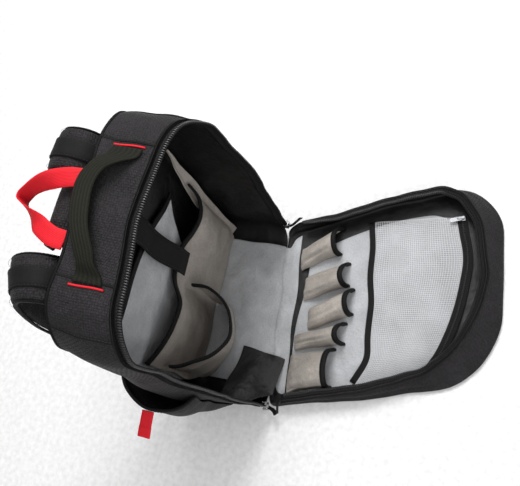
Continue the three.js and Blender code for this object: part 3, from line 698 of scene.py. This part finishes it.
class BACKPACK_OT_shells(bpy.types.Operator):
    """Makes the body, the folded front panel, their piping and seams"""

    bl_idname = "backpack.shells"
    bl_label = "Shells"

    def execute(self, context):
        rings = body_rings()
        body = grid_object("pack_body", settle(rings), closed=True, centre=True)
        modifier(body, "SOLIDIFY", thickness=WALL * MM, offset=-1, use_even_offset=False, material_offset=1)
        modifier(body, "SUBSURF", levels=1, render_levels=1)
        face_out(body)
        dress(body, material("shell"), "black_polyester", "body_shell")
        body.data.materials.append(material("satin"))
        rings = lid_rings()
        panel = grid_object("front_panel", settle(panel_folds(rings)), closed=True, centre=True)
        modifier(panel, "SOLIDIFY", thickness=WALL * MM, offset=-1, use_even_offset=False, material_offset=1)
        modifier(panel, "SUBSURF", levels=1, render_levels=1)
        face_out(panel)
        dress(panel, material("shell"), "black_polyester", "front_panel_shell")
        panel.data.materials.append(material("satin"))
        rings = body_rings()
        seams = [(3.985, 1.3), (5.871, 1.3), (3.3, 1.7), (6.55, 1.7)]
        for i, (station, size) in enumerate(seams):
            k = int(np.argmin(np.abs(STATIONS - station)))
            line = curve(rings[8:, k], 60)
            across = unit(np.roll(rings, -1, axis=1) - rings)[8:, k]
            out = -normals(rings, (0, 0, HEIGHT / 2), closed=True)[8:, k]
            across, out = (unit(curve(v, 60)) for v in (across, out))
            seam(f"body_seam_{i + 1}", line, across, out, size)
        inside = (0, 0, HEIGHT / 2)
        ring = 10
        out = -normals(rings, inside, closed=True)[ring]
        ahead = unit(np.roll(rings, -1, axis=0) - rings)[ring]
        path, out, ahead = (np.vstack([row, row[:1]]) for row in (rings[ring], out, ahead))
        edge = sweep_object("back_piping", settle(path), out, ahead, rounded(3.4, 3.4, 1.6))
        dress(edge, material("trim"), "black_trim")
        for name, rings, inside in (("body", rings, inside), ("panel", lid_rings(), LID_MIDDLE)):
            rim, u, v = rim_frames(rings, inside)
            edge = sweep_object(f"{name}_rim_piping", rim - u * 2.2 - v * 0.5, u, v, rounded(4.4, 2.6, 1.2))
            dress(edge, material("trim"), "black_trim")
            stitch_rows(f"{name}_rim_stitches", [(rim - u * 6.4 - v * 0.15, -v)], material("thread"))
        return {"FINISHED"}


def seam(name, line, across, out, size):
    """A sewn seam: one cloth edge folded over the other, with a row of stitches beside it."""
    line = settle(line)
    section = [[-3.2, -0.6], [-1.0, size * 0.8], [0, size], [0.5, size * 0.7], [0.7, -0.6]]
    dress(sweep_object(name, line, across, out, section), material("trim"), "black_trim")
    stitch_rows(name + "_stitches", [(line - across * 2.4 + out * size * 0.55, out)], material("thread"))


def panel_folds(rings):
    """Two long ridges in the gusset of the front panel."""
    rings = rings.copy()
    inward = normals(rings, LID_MIDDLE, closed=True)
    station = STATIONS[None, :]
    rise = rings[..., 2]
    for height, width, push in ((12, 5, 3.0), (23, 4.5, 2.6)):
        far = wave((station - 1.7) / 2.3) + wave((station - 6.2) / 2.2)
        rings += inward * (np.exp(-((rise - height) / width) ** 2) * far * push)[..., None]
    return rings


def face_out(made):
    """Turns a surface's faces to its outer side."""
    bm = bmesh.new()
    bm.from_mesh(made.data)
    bmesh.ops.recalc_face_normals(bm, faces=bm.faces)
    middle = np.mean([v.co for v in bm.verts], axis=0)
    score = sum(f.normal.dot(f.calc_center_median() - Vector(middle)) * f.calc_area()
                for f in bm.faces)
    if score < 0:
        bmesh.ops.reverse_faces(bm, faces=bm.faces)
    bm.to_mesh(made.data)
    bm.free()


class BACKPACK_OT_zips(bpy.types.Operator):
    """Makes the tape and the coil on each rim"""

    bl_idname = "backpack.zips"
    bl_label = "Zips"

    def execute(self, context):
        for name, rings, inside, node in (
                ("body", body_rings(), (0, 0, HEIGHT / 2), "body_zip"),
                ("panel", lid_rings(), LID_MIDDLE, "front_panel_zip")):
            rim, u, v = rim_frames(rings, inside)
            if name == "body":
                line = [(-5, 3.9), (-1, 3.9), (1.6, 2.1), (4.6, 1.2), (8.5, 1.2), (10.8, 1.6)]
                place, across, out = rim + u * 8.0 - v * 0.1, u, v
            else:
                line = [(-5, 3.9), (-0.5, 3.9), (1.2, 4.6), (2.2, 6.6), (2.5, 9.5), (2.5, 13)]
                place, across, out = rim + u * 3.8 + v * 10.4, v, u
            tape = sweep_object(f"{name}_zip_tape", rim, u, v, thickened(line, 0.9))
            dress(tape, material("trim"), "black_trim", node)
            coil(f"{name}_zip_coil", place, across, out)
            row = rim + u * 3.6 + v * 0.7 if name == "body" else rim + u * 2.7 + v * 5.6
            stitch_rows(f"{name}_zip_stitches", [(row, -v if name == "body" else u)], material("thread"))
        return {"FINISHED"}


def coil(name, path, u, v, size=(2.9, 1.15, 0.85)):
    """Turns of a zip coil along a path, each a small rounded bar across it."""
    pitch = bpy.context.scene.backpack_sizes.tooth / MM
    run = run_along(path)
    at = np.arange(pitch, run[-1] - pitch, pitch)
    middle, across, out = sample(path, run, at), unit(sample(u, run, at)), unit(sample(v, run, at))
    way = unit(np.cross(across, out))
    half, high, thick = size
    points = np.stack([
        middle + across * x + out * y * f + way * z * f
        for x, f in ((-half, 0.5), (-half * 0.6, 1), (half * 0.6, 1), (half, 0.55))
        for y, z in ((high, thick), (-high, thick), (-high, -thick), (high, -thick))], axis=1)
    made = make_object(name, points.reshape(-1, 3), bars(len(at)))
    modifier(made, "BEVEL", width=0.22 * MM, segments=1)
    return dress(made, material("coil"), "black_trim")


class BACKPACK_OT_linings(bpy.types.Operator):
    """Makes the floor lining, which runs on over the fold, and the front panel's lining"""

    bl_idname = "backpack.linings"
    bl_label = "Linings"

    def execute(self, context):
        rows = [(60, None, FLOOR, 0.81), (20, None, FLOOR, 0.81), (-20, None, FLOOR, 0.81), (None, -7, FLOOR, 0.81),
                (None, 0, FLOOR + 1.5, 0.78), (None, 8, FLOOR + 1.7, 0.77), (None, 15, FLOOR + 0.3, 0.86),
                (None, 27, FLOOR, 0.9)]
        net = []
        for y, along, z, share in rows:
            x = np.array([-1, -0.6, -0.2, 0.2, 0.6, 1]) * HALF_W * share
            if y is None:
                net.append(on_lid(x, along, z))
            else:
                turn = 0 if y > 0 else math.tan(HINGE_YAW) / 2
                net.append(np.stack([x, y + x * turn, z + 0 * x], axis=1))
        net = refine(refine(net, 4, 0), 8, 1)
        cloth("floor_cloth", net, LINING, (0, 0, HEIGHT), material("light"), "light_grey_lining", "floor_lining",
              held="laid")
        table = [(29, -146, 100), (90, -154, 112), (180, -158, 128), (250, -151, 128), (282, -124, 118),
                 (305, -76, 104), (322, -16, 78)]
        side = np.linspace(0, 1, 6)
        net = [on_lid(mix(near, far, side), along + 22 * side ** 2 * ease(60 - along, 0, 31), FLOOR)
               for along, near, far in table]
        cloth("panel_cloth", refine(refine(net, 5, 0), 6, 1), LINING, on_lid(0, 150, HEIGHT), material("light"),
              "light_grey_lining", "front_panel_lining", held="laid", rests_on=("front_panel",))
        table = [(-16, -66, 60, 5.4, None), (-40, -68, 58, 5.4, None), (-62, -71, 50, 5.8, None),
                 (-80, -74, 38, 7.4, -148), (-98, -78, 26, 6.6, -138)]
        net = []
        for t in (0, 0.2, 0.45, 0.75, 1):
            net.append([(mix(side_x(y, top) + WALL + 3 * GAP if wall is None else wall, edge, t), y,
                         mix(low, top, (1 - t) ** 1.5)) for y, edge, top, low, wall in table])
        net = refine(refine(net, 7, 0), 7, 1)
        t = np.linspace(0, 1, len(net))[:, None]
        slack = 0.5 + 0.5 * np.sin(net[..., 1] * 0.11 + 2 * t)
        net[..., 2] += 3.0 * wave(t) * slack * ease(net[..., 2], 5, 12)
        cloth("near_wall_cloth", net, LINING, (0, 0, HEIGHT), material("satin"), "black_trim", "near_wall_lining",
              rests_on=("pack_body", "floor_cloth"))
        return {"FINISHED"}


class BACKPACK_OT_wall_pockets(bpy.types.Operator):
    """Makes the pocket panels on the inside of the back, their bindings and the closing strap"""

    bl_idname = "backpack.wall_pockets"
    bl_label = "Wall pockets"

    def execute(self, context):
        wall_pocket("rear_pocket", "light", [
            [-148, 61, 300], [-90, 61, 300], [-30, 61, 297], [20, 60.5, 292, 61, 2], [60, 60, 279, 61, 20],
            [92, 59.4, 268, 61, 32], [113, 58.8, 263, 61, 41]], 61, (0, 0.25, 0.5, 0.7, 0.85, 1), 0, 1.2)
        wall_pocket("front_pocket", "warm", [
            [-144, 52, 206], [-118, 42, 200], [-80, 33, 196], [-42, 33, 190], [-8, 50, 197], [20, 53, 200],
            [44, 50, 200], [74, 36, 200], [104, 31, 200], [128, 36, 212], [139, 46, 232]],
                    50, (0, 0.25, 0.5, 0.75, 1), 0, 2.0)
        wall_pocket("lower_pocket", "warm", [
            [2, 42, 142, 44], [4, 18, 134, 30], [-14, -10, 122, 16], [-42, -26, 112, 8], [-74, -27, 112, 8],
            [-104, -13.5, 127, 14], [-128, 12, 156, 24], [-138, 30, 172, 34]], 30, (0, 0.35, 0.7, 1), -HALF_W, 2.2)
        strip = [(12, 128, 56, 146, 48), (100, 129, 56, 149.6, 47), (199, 129, 55.5, 151.6, 46),
                 (250, 139, 53.5, 152.6, 46), (290, 147, 51, 153, 46), (322, 151, 48.5, 153.4, 46)]
        net = [[(mix(x0, x1, t), mix(y0, y1, t), z) for t in (0, 0.5, 1)] for z, x0, y0, x1, y1 in strip]
        net = refine(refine(net, 6, 0), 5, 1)
        cloth("corner_cloth", net, LINING, (0, HEIGHT, 100), material("warm"), "warm_grey_lining", "corner_strip")
        out = np.array([-0.35, -0.94, 0.0])
        stitch_rows("corner_stitches", [(settle(net[6:, 2]) + out * 1.0, out)], material("thread"))
        path = curve([[26, 65.3, 404], [26, 62, 340], [25, 55, 306], [24, 50, 260], [24, 44, 215], [25, 42, 178]], 60)
        strap = sweep_object("inner_strap", *place_frames(path, (1, 0, 0.2)), rounded(38, 1.8))
        dress(strap, material("trim"), "black_trim", "closing_strap")
        rows = [(settle(path) + np.array([side, -1.1, 0.0]), (0, -1, 0)) for side in (-15.5, 15.5)]
        stitch_rows("inner_strap_stitches", rows, material("thread"))
        return {"FINISHED"}


def place_frames(path, wide, skewed=False):
    """Frames of a settled path."""
    return frames(settle(path), wide, skewed)


def wall_pocket(name, look, columns, foot, shares, aside, gather):
    """A pocket panel from the floor to its bound mouth, gathered below it."""
    net = [[(mix(rest[1], x, t ** 4) if len(rest) > 1 else x * mix(0.94, 1, min(t * 4, 1)),
             mix(rest[0] if rest else foot, y, t ** 0.7), mix(POCKET_FLOOR + 0.2, top, t))
            for x, y, top, *rest in columns] for t in shares]
    net = refine(refine(net, 8, 0), 6, 1)
    away = normals(net, (aside, HEIGHT, 100))
    t = np.linspace(0, 1, len(net))[:, None]
    s = np.linspace(0, 1, net.shape[1])[None, :]
    ripple = (np.sin(s * 31 + 2.2 * np.sin(t * 3.1)) * 0.6 + np.sin(s * 17 + 1.3) * 0.8) * gather * wave(t * 0.86)
    net = net + away * (ripple * wave(s * 0.98 + 0.01))[..., None] * 0.5
    cloth(name + "_cloth", net, LINING, (aside, HEIGHT, 100), material(look),
          "light_grey_lining" if look == "light" else "warm_grey_lining", name)
    binding(name + "_edge", net, normals(net, (aside, HEIGHT, 100)), LINING, 8, material("trim"),
            name + "_binding")


class BACKPACK_OT_tool_pockets(bpy.types.Operator):
    """Makes the five tool pockets on the front panel"""

    bl_idname = "backpack.tool_pockets"
    bl_label = "Tool pockets"

    def execute(self, context):
        table = [(94, 33, 112, 108, 34, 50, 33), (36, 42, 46, 125, 36, 42, 32), (-19, 57, -4, 134, 34, 43, 33),
                 (-58, 36, -58, 126, 24, 40, 30), (-112, 31, -115, 110, 52, 64, 42)]
        for i, row in enumerate(table):
            tool_pocket(f"tool_pocket_{i + 1}", i, *row)
        return {"FINISHED"}


def tool_pocket(name, seed, x0, s0, x1, s1, w0, w1, high):
    """Half tube, pleated at its sewn end and bound at its mouth: across, along, widths at both ends and height."""
    t = np.linspace(0, 1, 30)[:, None]
    turn = np.linspace(0, np.pi, 49)[None, :]
    slack = (1 - t) ** 1.3
    pleat = 1 + (0.16 * np.sin(turn * 5 + seed * 1.7) + 0.07 * np.sin(turn * 11 + seed)) * slack
    rise = mix(8, high, np.sin(np.pi / 2 * np.minimum(t * 1.25, 1)) ** 0.75) - LINING / 2
    sag = 1 - 0.05 * wave(t) * (1 + np.sin(turn * 3 + seed * 2)) - 0.04 * np.sin(t * 13 + seed) * slack
    net = on_lid(mix(x0, x1, t) - (0.5 * mix(w0 * 1.22, w1, t) - LINING / 2) * np.cos(turn) * sag,
                 mix(s0, s1, t) - MOUTH_BACK * t * t * np.sin(turn),
                 POCKET_FLOOR + LINING / 2 + rise * pleat * sag * np.sin(turn) ** 0.8)
    inside = on_lid((x0 + x1) / 2, (s0 + s1) / 2, 0)
    away = normals(net, inside)
    made = grid_object(name + "_cloth", settle(net))
    modifier(made, "SOLIDIFY", thickness=LINING * MM, offset=0)
    modifier(made, "SUBSURF", levels=1, render_levels=1)
    dress(made, material("warm"), "warm_grey_lining", name)
    settle(net)
    binding(name + "_edge", net + np.array([0, 0, 0.3]) - away * LINING / 2, away, LINING + 0.8, 7, material("trim"),
            name + "_binding", lift=1.0)


class BACKPACK_OT_mesh_pocket(bpy.types.Operator):
    """Makes the mesh pocket with its hem and zip"""

    bl_idname = "backpack.mesh_pocket"
    bl_label = "Mesh pocket"

    def execute(self, context):
        hem = [(-148, 152), (-112, 170), (-70, 172), (-30, 170), (10, 169), (50, 168), (92, 166), (134, 164)]
        end = [(-146, 254), (-118, 276), (-88, 290), (-50, 302), (-10, 311), (30, 315), (72, 312), (112, 304)]
        net = []
        for t in (0, 0.2, 0.4, 0.6, 0.8, 1):
            k = np.arange(len(hem))
            a, b = np.array(hem, float), np.array(end, float)
            net.append(on_lid(mix(a[:, 0], b[:, 0], t), mix(a[:, 1], b[:, 1], t),
                              POCKET_FLOOR + 0.2 + 15 * wave(t) * wave((k + 0.4) / 7.8)))
        hole = context.scene.backpack_sizes.mesh_hole / MM
        net = refine(refine(net, max(1, round(132 / 5 / hole)), 0), max(1, round(280 / 7 / hole)), 1)
        net = settle(net) + UP * MESH_T
        netting = grid_object("mesh_netting", net)
        modifier(netting, "WIREFRAME", thickness=0.85 * MM, use_even_offset=False, use_boundary=True)
        dress(netting, material("mesh"), "white_mesh", "mesh_pocket")
        for name, line, centre, section, node in (
                ("mesh_hem", hem, -6, rounded(10, 2.2), "mesh_pocket_hem"),
                ("mesh_zip_tape", end, 9, rounded(16, 1.2), "mesh_pocket_zip")):
            path = settle(curve([on_lid(x, along, POCKET_FLOOR + 0.9) for x, along in line], 60))
            _, out, _ = frames(path, AY)
            tape = sweep_object(name, path + out * centre, out, np.broadcast_to(UP, path.shape), section)
            dress(tape, material("trim"), "black_trim", node)
            if centre > 0:
                coil("mesh_zip_coil", path + out * centre + UP * 1.3, out, np.broadcast_to(UP, path.shape),
                     (1.7, 0.8, 0.6))
            sides = (-4.0, 4.0) if centre < 0 else (-6.5, 6.5)
            rows = [(path + out * (centre + side) + UP * 1.3, UP) for side in sides]
            stitch_rows(name + "_stitches", rows, material("thread"))
        return {"FINISHED"}


class BACKPACK_OT_handle(bpy.types.Operator):
    """Makes the carry handle, the strips at its ends and the grab loop"""

    bl_idname = "backpack.handle"
    bl_label = "Handle and loop"

    def execute(self, context):
        ends, y = (96, -82), 26
        seat = lambda x: top_z(x, y) + 1.9
        path = curve([[ends[0], y, seat(ends[0])], [86, 29, seat(86) + 1.5], [72, 42, 453], [52, 56, 459], [34, 59, 461],
                      [0, 48, 462], [-40, 36, 460], [-62, 30, 453], [-73, 27, seat(-73) + 1.2],
                      [ends[1], y, seat(ends[1])]], 90)
        t = np.linspace(0, 1, len(path))
        table = [[0, 37, 2.4], [0.08, 38, 2.8], [0.16, 33, 4], [0.25, 25, 6], [0.5, 26, 6.5], [0.8, 25, 6],
                 [0.87, 21, 5], [0.93, 28, 3.4], [1, 37, 2.4]]
        wide = np.stack([0 * t, 1 + 0 * t, 0.25 * np.abs(np.cos(np.pi * t)) ** 3], axis=1)
        sections = []
        for share in t:
            w, h = (float(lookup(table, share, column)) for column in (1, 2))
            a = np.linspace(-1, 1, 25)
            ribs = 0.32 * np.cos(a * np.pi * 4)
            crown = h / 2 * (1 - 0.5 * np.abs(a) ** 3)
            top = np.stack([a * w / 2, crown + ribs], axis=1)
            sections.append(np.vstack([np.stack([a * w / 2, -crown], axis=1), top[::-1]]))
        handle = sweep_object("webbing_handle", *place_frames(path, wide, True), sections)
        dress(handle, material("webbing"), "dark_webbing", "carry_handle")
        for side, x in (("far", ends[0] + 3.4), ("near", ends[1] - 3.4)):
            run = curve([(x, q, top_z(x, q) + 1.2) for q in (46, 36, 26, 16, 6)], 16)
            strip = sweep_object(f"red_strip_{side}", *place_frames(run, (1, 0, 0)), rounded(2.4, 1.3))
            dress(strip, material("red"), "red_webbing", f"handle_strip_{side}")
        wide = [[0, 1, 0, 0], [0.2, 0.8, 0, 0.3], [0.42, 0.1, 0, 1], [0.55, 0.2, 0, 0.9], [0.75, 0.9, 0.2, 0.2],
                [1, 1, 0, 0]]
        back = BACK_Y + 1.6
        path = curve([[48, back, 446], [45, 92, 451], [35, 120, 454], [18, 139, 455], [8, 143, 454], [-1, 136, 452],
                      [-20, 111, 449], [-31, 90, 447], [-34, back, 444]], 70)
        t = np.linspace(0, 1, len(path))
        turn = np.stack([lookup(wide, t, column) for column in (1, 2, 3)], axis=1)
        loop = sweep_object("red_loop", *frames(path, turn), rounded(25, 1.6))
        dress(loop, material("red"), "red_webbing", "grab_loop")
        return {"FINISHED"}


def side_x(y, z):
    """Place of the near wall's outer face."""
    front = lookup(FRONT, 7 + (HEIGHT - TOP_R - z) / (HEIGHT - TOP_R - LOW_R), 1)
    return -HALF_W - side_out((BACK_Y - 5 - y) / (BACK_Y - 5 - front), z, False) + lean_x(z)


def top_z(x, y):
    """Height of the top's outer face."""
    front = lookup(FRONT, 5 - np.asarray(x, float) / (HALF_W - TOP_R), 1)
    return HEIGHT - (TOP_DROP * (BACK_Y - 5 - y)) / (BACK_Y - 5 - front)


class BACKPACK_OT_straps(bpy.types.Operator):
    """Makes the padded shoulder straps, the yoke, and their webbing and buckles"""

    bl_idname = "backpack.straps"
    bl_label = "Straps"

    def execute(self, context):
        yaw = {"far": (1, -0.08, 0), "near": (0.9, 0.42, 0)}
        paths = {
            "far": [[86, 75.8, 400], [86, 79.4, 422], [87, 95, 438], [88, 120, 441], [90, 139, 428], [95, 148, 392],
                    [106, 142, 310], [116, 120, 215], [122, 100, 140], [124, 90, 100]],
            "near": [[-80, 76.6, 400], [-80, 80, 422], [-82, 95, 438], [-86, 120, 440], [-91, 138, 426],
                     [-97, 146, 392], [-107, 140, 310], [-116, 120, 215], [-120, 100, 140], [-122, 90, 100]]}
        for side, points in paths.items():
            path = curve(points, 90)
            t = np.linspace(0, 1, len(path))[:, None]
            wide = mix(np.array([1.0, 0, 0]), np.array(yaw[side], float), wave(t * 2.4))
            path, u, v = frames(path, wide)
            pad = sweep_object(f"padded_strap_{side}", path, u, v, cushion(58, 10))
            puff(pad, context.scene.backpack_sizes.puff)
            dress(pad, material("shell"), "black_polyester", f"shoulder_strap_{side}")
            for edge in (-1, 1):
                piping = sweep_object(f"strap_piping_{side}_{'a' if edge < 0 else 'b'}",
                                      path + u * edge * 29.6, u, v, rounded(3.6, 6.0, 1.7))
                dress(piping, material("trim"), "black_trim")
            band = sweep_object(f"strap_band_{side}", path - v * 7.0, u, v, rounded(27, 1.4))
            dress(band, material("trim"), "dark_webbing")
            rows = [(path - v * 7.9 + u * edge * 11.5, -v) for edge in (-1, 1)]
            rows += [(path - v * 6.6 + u * edge * 25.5, -v) for edge in (-1, 1)]
            rows += [(mix(path[k] - u[k] * 28 - v[k] * 6.2, path[k] + u[k] * 28 - v[k] * 6.2,
                          np.linspace(0, 1, 30)[:, None]), -v[k]) for k in (14, 30, 48, 66)]
            stitch_rows(f"strap_stitches_{side}", rows, material("thread"))
            x, y, z = points[-1]
            out = math.copysign(1, x)
            run = np.array([(x, y - 0.6, z - 0.9), (x + out, y - 2.6, z - 15), (x + 2 * out, y - 4.6, z - 29)])
            buckle = sweep_object(f"ladder_buckle_{side}", *frames(curve(run, 12), (1, 0, 0)),
                                  rounded(34, 5, 1.6))
            modifier(buckle, "BEVEL", width=0.6 * MM, segments=2)
            dress(buckle, material("plastic"), "black_plastic", f"strap_buckle_{side}")
            run = curve([[x + 2 * out, y - 5, z - 31], [x + 4 * out, 80, z - 48], [x + 5 * out, BACK_Y + 1.6, 38],
                         [x + 5 * out, BACK_Y + 1.6, 30]], 24)
            lower = sweep_object(f"lower_strap_{side}", *frames(run, (1, 0, 0)), rounded(25, 1.8))
            dress(lower, material("webbing"), "dark_webbing", f"lower_webbing_{side}")
        path = curve([[2, 74.9, 396], [2, 78.4, 418], [2, 92, 433], [2, 110, 428], [2, 116, 404]], 40)
        yoke = sweep_object("padded_yoke", *frames(path, (1, 0, 0)), cushion(84, 8.5))
        puff(yoke, context.scene.backpack_sizes.puff * 0.6)
        dress(yoke, material("shell"), "black_polyester", "strap_yoke")
        return {"FINISHED"}


PUFF_STEPS = 20


def puff(made, cap):
    """Swells a padded piece by a short cloth simulation with air in it, then applies it."""
    before = np.array([v.co for v in made.data.vertices])
    swell = modifier(made, "CLOTH")
    swell.settings.use_pressure = True
    swell.settings.uniform_pressure_force = 4
    swell.settings.effector_weights.gravity = 0
    swell.point_cache.frame_start = 1
    swell.point_cache.frame_end = PUFF_STEPS
    for step in range(1, PUFF_STEPS + 1):
        bpy.context.scene.frame_set(step)
    depsgraph = bpy.context.evaluated_depsgraph_get()
    solved = made.evaluated_get(depsgraph)
    after = np.array([v.co for v in solved.data.vertices])
    move = after - before
    far = np.linalg.norm(move, axis=1, keepdims=True)
    made.modifiers.remove(swell)
    bpy.context.scene.frame_set(1)
    after = before + move * np.minimum(1, cap / np.maximum(far, 1e-9))
    made.data.vertices.foreach_set("co", after.ravel())
    made.data.update()
    made.data.polygons.foreach_set("use_smooth", [True] * len(made.data.polygons))
    modifier(made, "SUBSURF", levels=1, render_levels=1)


class BACKPACK_OT_side_pocket(bpy.types.Operator):
    """Makes the pouch on the near side and the red tab at its mouth"""

    bl_idname = "backpack.side_pocket"
    bl_label = "Side pocket"

    def execute(self, context):
        places = np.array([58, 50, 34, 14, -8, -26, -36], float)
        k = np.arange(len(places)) / (len(places) - 1)
        net = []
        for t in (0, 0.12, 0.35, 0.65, 0.85, 1):
            z = mix(36, mix(246, 212, k), t)
            x = side_x(places, z)
            swell = mix(0.9, 2.4, t) + 20 * wave(k) ** 0.7 * min(t * 2.2, 1)
            net.append(np.stack([x - swell, places, z], axis=1))
        net = refine(refine(net, 6, 0), 8, 1)
        pouch, away = cloth("side_pouch", net, 2, (-HALF_W * 3, 10, 120), material("shell"), "black_polyester",
                            "side_pocket")
        binding("side_pouch_edge", net, away, 2, 8, material("trim"), "side_pocket_binding")
        lip = net[-1][3 * 8]
        path = settle(curve([(lip[0] - out, 19, lip[2] - 4 - down)
                             for out, down in ((3.7, 1), (13, 2), (29, 5), (41, 8))], 24))
        sections = [rounded(19, 1.6 if i < 15 else 3.4) for i in range(len(path))]
        tab = sweep_object("red_tab", *frames(path, (0, 1, 0)), sections)
        dress(tab, material("red"), "red_webbing", "side_tab")
        return {"FINISHED"}


class BACKPACK_OT_hardware(bpy.types.Operator):
    """Finishes the sliders and pulls, and makes the loose tape ends"""

    bl_idname = "backpack.hardware"
    bl_label = "Hardware"

    def execute(self, context):
        for name in ("zip_slider_far", "zip_slider_near", "zip_pull_far", "zip_pull_near", "mesh_zip_slider",
                     "mesh_zip_pull"):
            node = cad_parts[name]
            node.data.materials.clear()
            node.data.materials.append(material("gunmetal" if name.startswith("mesh") else "metal"))
        for name in ("zip_end_tape_far", "zip_end_tape_near"):
            loose_tape(name)
        return {"FINISHED"}


def loose_tape(name):
    """A loose end of zip tape, finely divided so that it settles with the cloth beside it."""
    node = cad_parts[name]
    bm = bmesh.new()
    bm.from_mesh(node.data)
    bm.transform(node.matrix_world)
    bmesh.ops.remove_doubles(bm, verts=bm.verts, dist=0.01 * MM)
    bmesh.ops.subdivide_edges(bm, edges=bm.edges, cuts=2, use_grid_fill=True)
    bm.verts.index_update()
    points = settle(np.array([v.co for v in bm.verts]) / MM)
    faces = [[v.index for v in face.verts] for face in bm.faces]
    bm.free()
    uvs = [[(points[k][0] + points[k][1], points[k][2]) for k in face] for face in faces]
    made = make_object(name + "_cloth", points, faces, uvs)
    modifier(made, "BEVEL", width=0.25 * MM, segments=2)
    dress(made, material("trim"), "black_trim", name)


# The photograph's view in metres: place, directions right, down and forward, and focal length by picture width
CAMERA_AT = (-0.1842, -0.3965, 1.0200)
CAMERA_AXES = ((0.21828, -0.9308, -0.2932), (-0.9361, -0.11479, -0.33249), (0.27582, 0.34704, -0.89637))
FOCAL_SHARE = 602 / 520
# Name, place, aim, width in metres, watts
LIGHTS = (("key_light", (1.25, 0.1, 1.7), (0, -0.1, 0.1), 1.0, 31),
          ("fill_light", (-1.5, -1.1, 1.5), (0, -0.1, 0.1), 2.2, 16),
          ("top_light", (0.1, -0.2, 2.6), (0, -0.1, 0), 2.0, 11))


class BACKPACK_OT_stage(bpy.types.Operator):
    """Makes the studio floor, the lights and the camera"""

    bl_idname = "backpack.stage"
    bl_label = "Stage"

    def execute(self, context):
        scene = context.scene
        colours = scene.backpack_colours
        size = 9000
        floor = grid_object("studio_floor", np.array([[(x, y, -0.4) for x in np.linspace(-size, size, 7)]
                                                      for y in np.linspace(-size, size, 7)], float))
        floor.data.materials.append(grained("matt_floor_paint", colours.floor, 9.0, 0.02, 0.9))
        right, down, forward = np.array(CAMERA_AXES)
        lens = bpy.data.cameras.new("camera")
        lens.sensor_width = 36
        lens.lens = FOCAL_SHARE * lens.sensor_width
        lens.clip_start, lens.clip_end = 0.05, 60
        camera = bpy.data.objects.new("camera", lens)
        scene.collection.objects.link(camera)
        place = Matrix.Identity(4)
        for k, way in enumerate((right, -down, -forward)):
            for j in range(3):
                place[j][k] = way[j]
            place[k][3] = CAMERA_AT[k]
        camera.matrix_world = place
        scene.camera = camera
        for name, spot, aim, wide, watts in LIGHTS:
            lamp = bpy.data.lights.new(name, "AREA")
            lamp.shape, lamp.size, lamp.energy = "DISK", wide, watts
            made = bpy.data.objects.new(name, lamp)
            scene.collection.objects.link(made)
            back = unit(np.array(spot) - np.array(aim))
            side = unit(np.cross(UP, back))
            top = np.cross(back, side)
            made.matrix_world = Matrix([[side[j], top[j], back[j], spot[j]] for j in range(3)] + [[0, 0, 0, 1]])
        scene.view_settings.view_transform = "Standard"
        world = bpy.data.worlds.new("studio")
        world.use_nodes = True
        world.node_tree.nodes["Background"].inputs["Color"].default_value = (1, 1, 1, 1)
        world.node_tree.nodes["Background"].inputs["Strength"].default_value = 0.36
        scene.world = world
        return {"FINISHED"}


OPERATORS = (BACKPACK_OT_stage, BACKPACK_OT_shells, BACKPACK_OT_zips, BACKPACK_OT_linings, BACKPACK_OT_wall_pockets,
             BACKPACK_OT_tool_pockets, BACKPACK_OT_mesh_pocket, BACKPACK_OT_handle, BACKPACK_OT_straps,
             BACKPACK_OT_side_pocket, BACKPACK_OT_hardware)


class BACKPACK_PT_panel(bpy.types.Panel):
    """Lists the backpack's sizes, colours and pieces"""

    bl_label = "Backpack"
    bl_idname = "BACKPACK_PT_panel"
    bl_space_type = "VIEW_3D"
    bl_region_type = "UI"
    bl_category = "Backpack"

    def draw(self, context):
        for group in (context.scene.backpack_sizes, context.scene.backpack_colours):
            for key in group.__annotations__:
                self.layout.prop(group, key)
        for operator in OPERATORS:
            self.layout.operator(operator.bl_idname)


CLASSES = (BackpackSizes, BackpackColours, *OPERATORS, BACKPACK_PT_panel)


def register():
    for cls in CLASSES:
        bpy.utils.register_class(cls)
    bpy.types.Scene.backpack_sizes = bpy.props.PointerProperty(type=BackpackSizes)
    bpy.types.Scene.backpack_colours = bpy.props.PointerProperty(type=BackpackColours)


def unregister():
    del bpy.types.Scene.backpack_colours
    del bpy.types.Scene.backpack_sizes
    for cls in reversed(CLASSES):
        bpy.utils.unregister_class(cls)


def main():
    register()
    for operator in OPERATORS:
        group, name = operator.bl_idname.split(".")
        getattr(getattr(bpy.ops, group), name)()


if __name__ == "__main__":
    main()
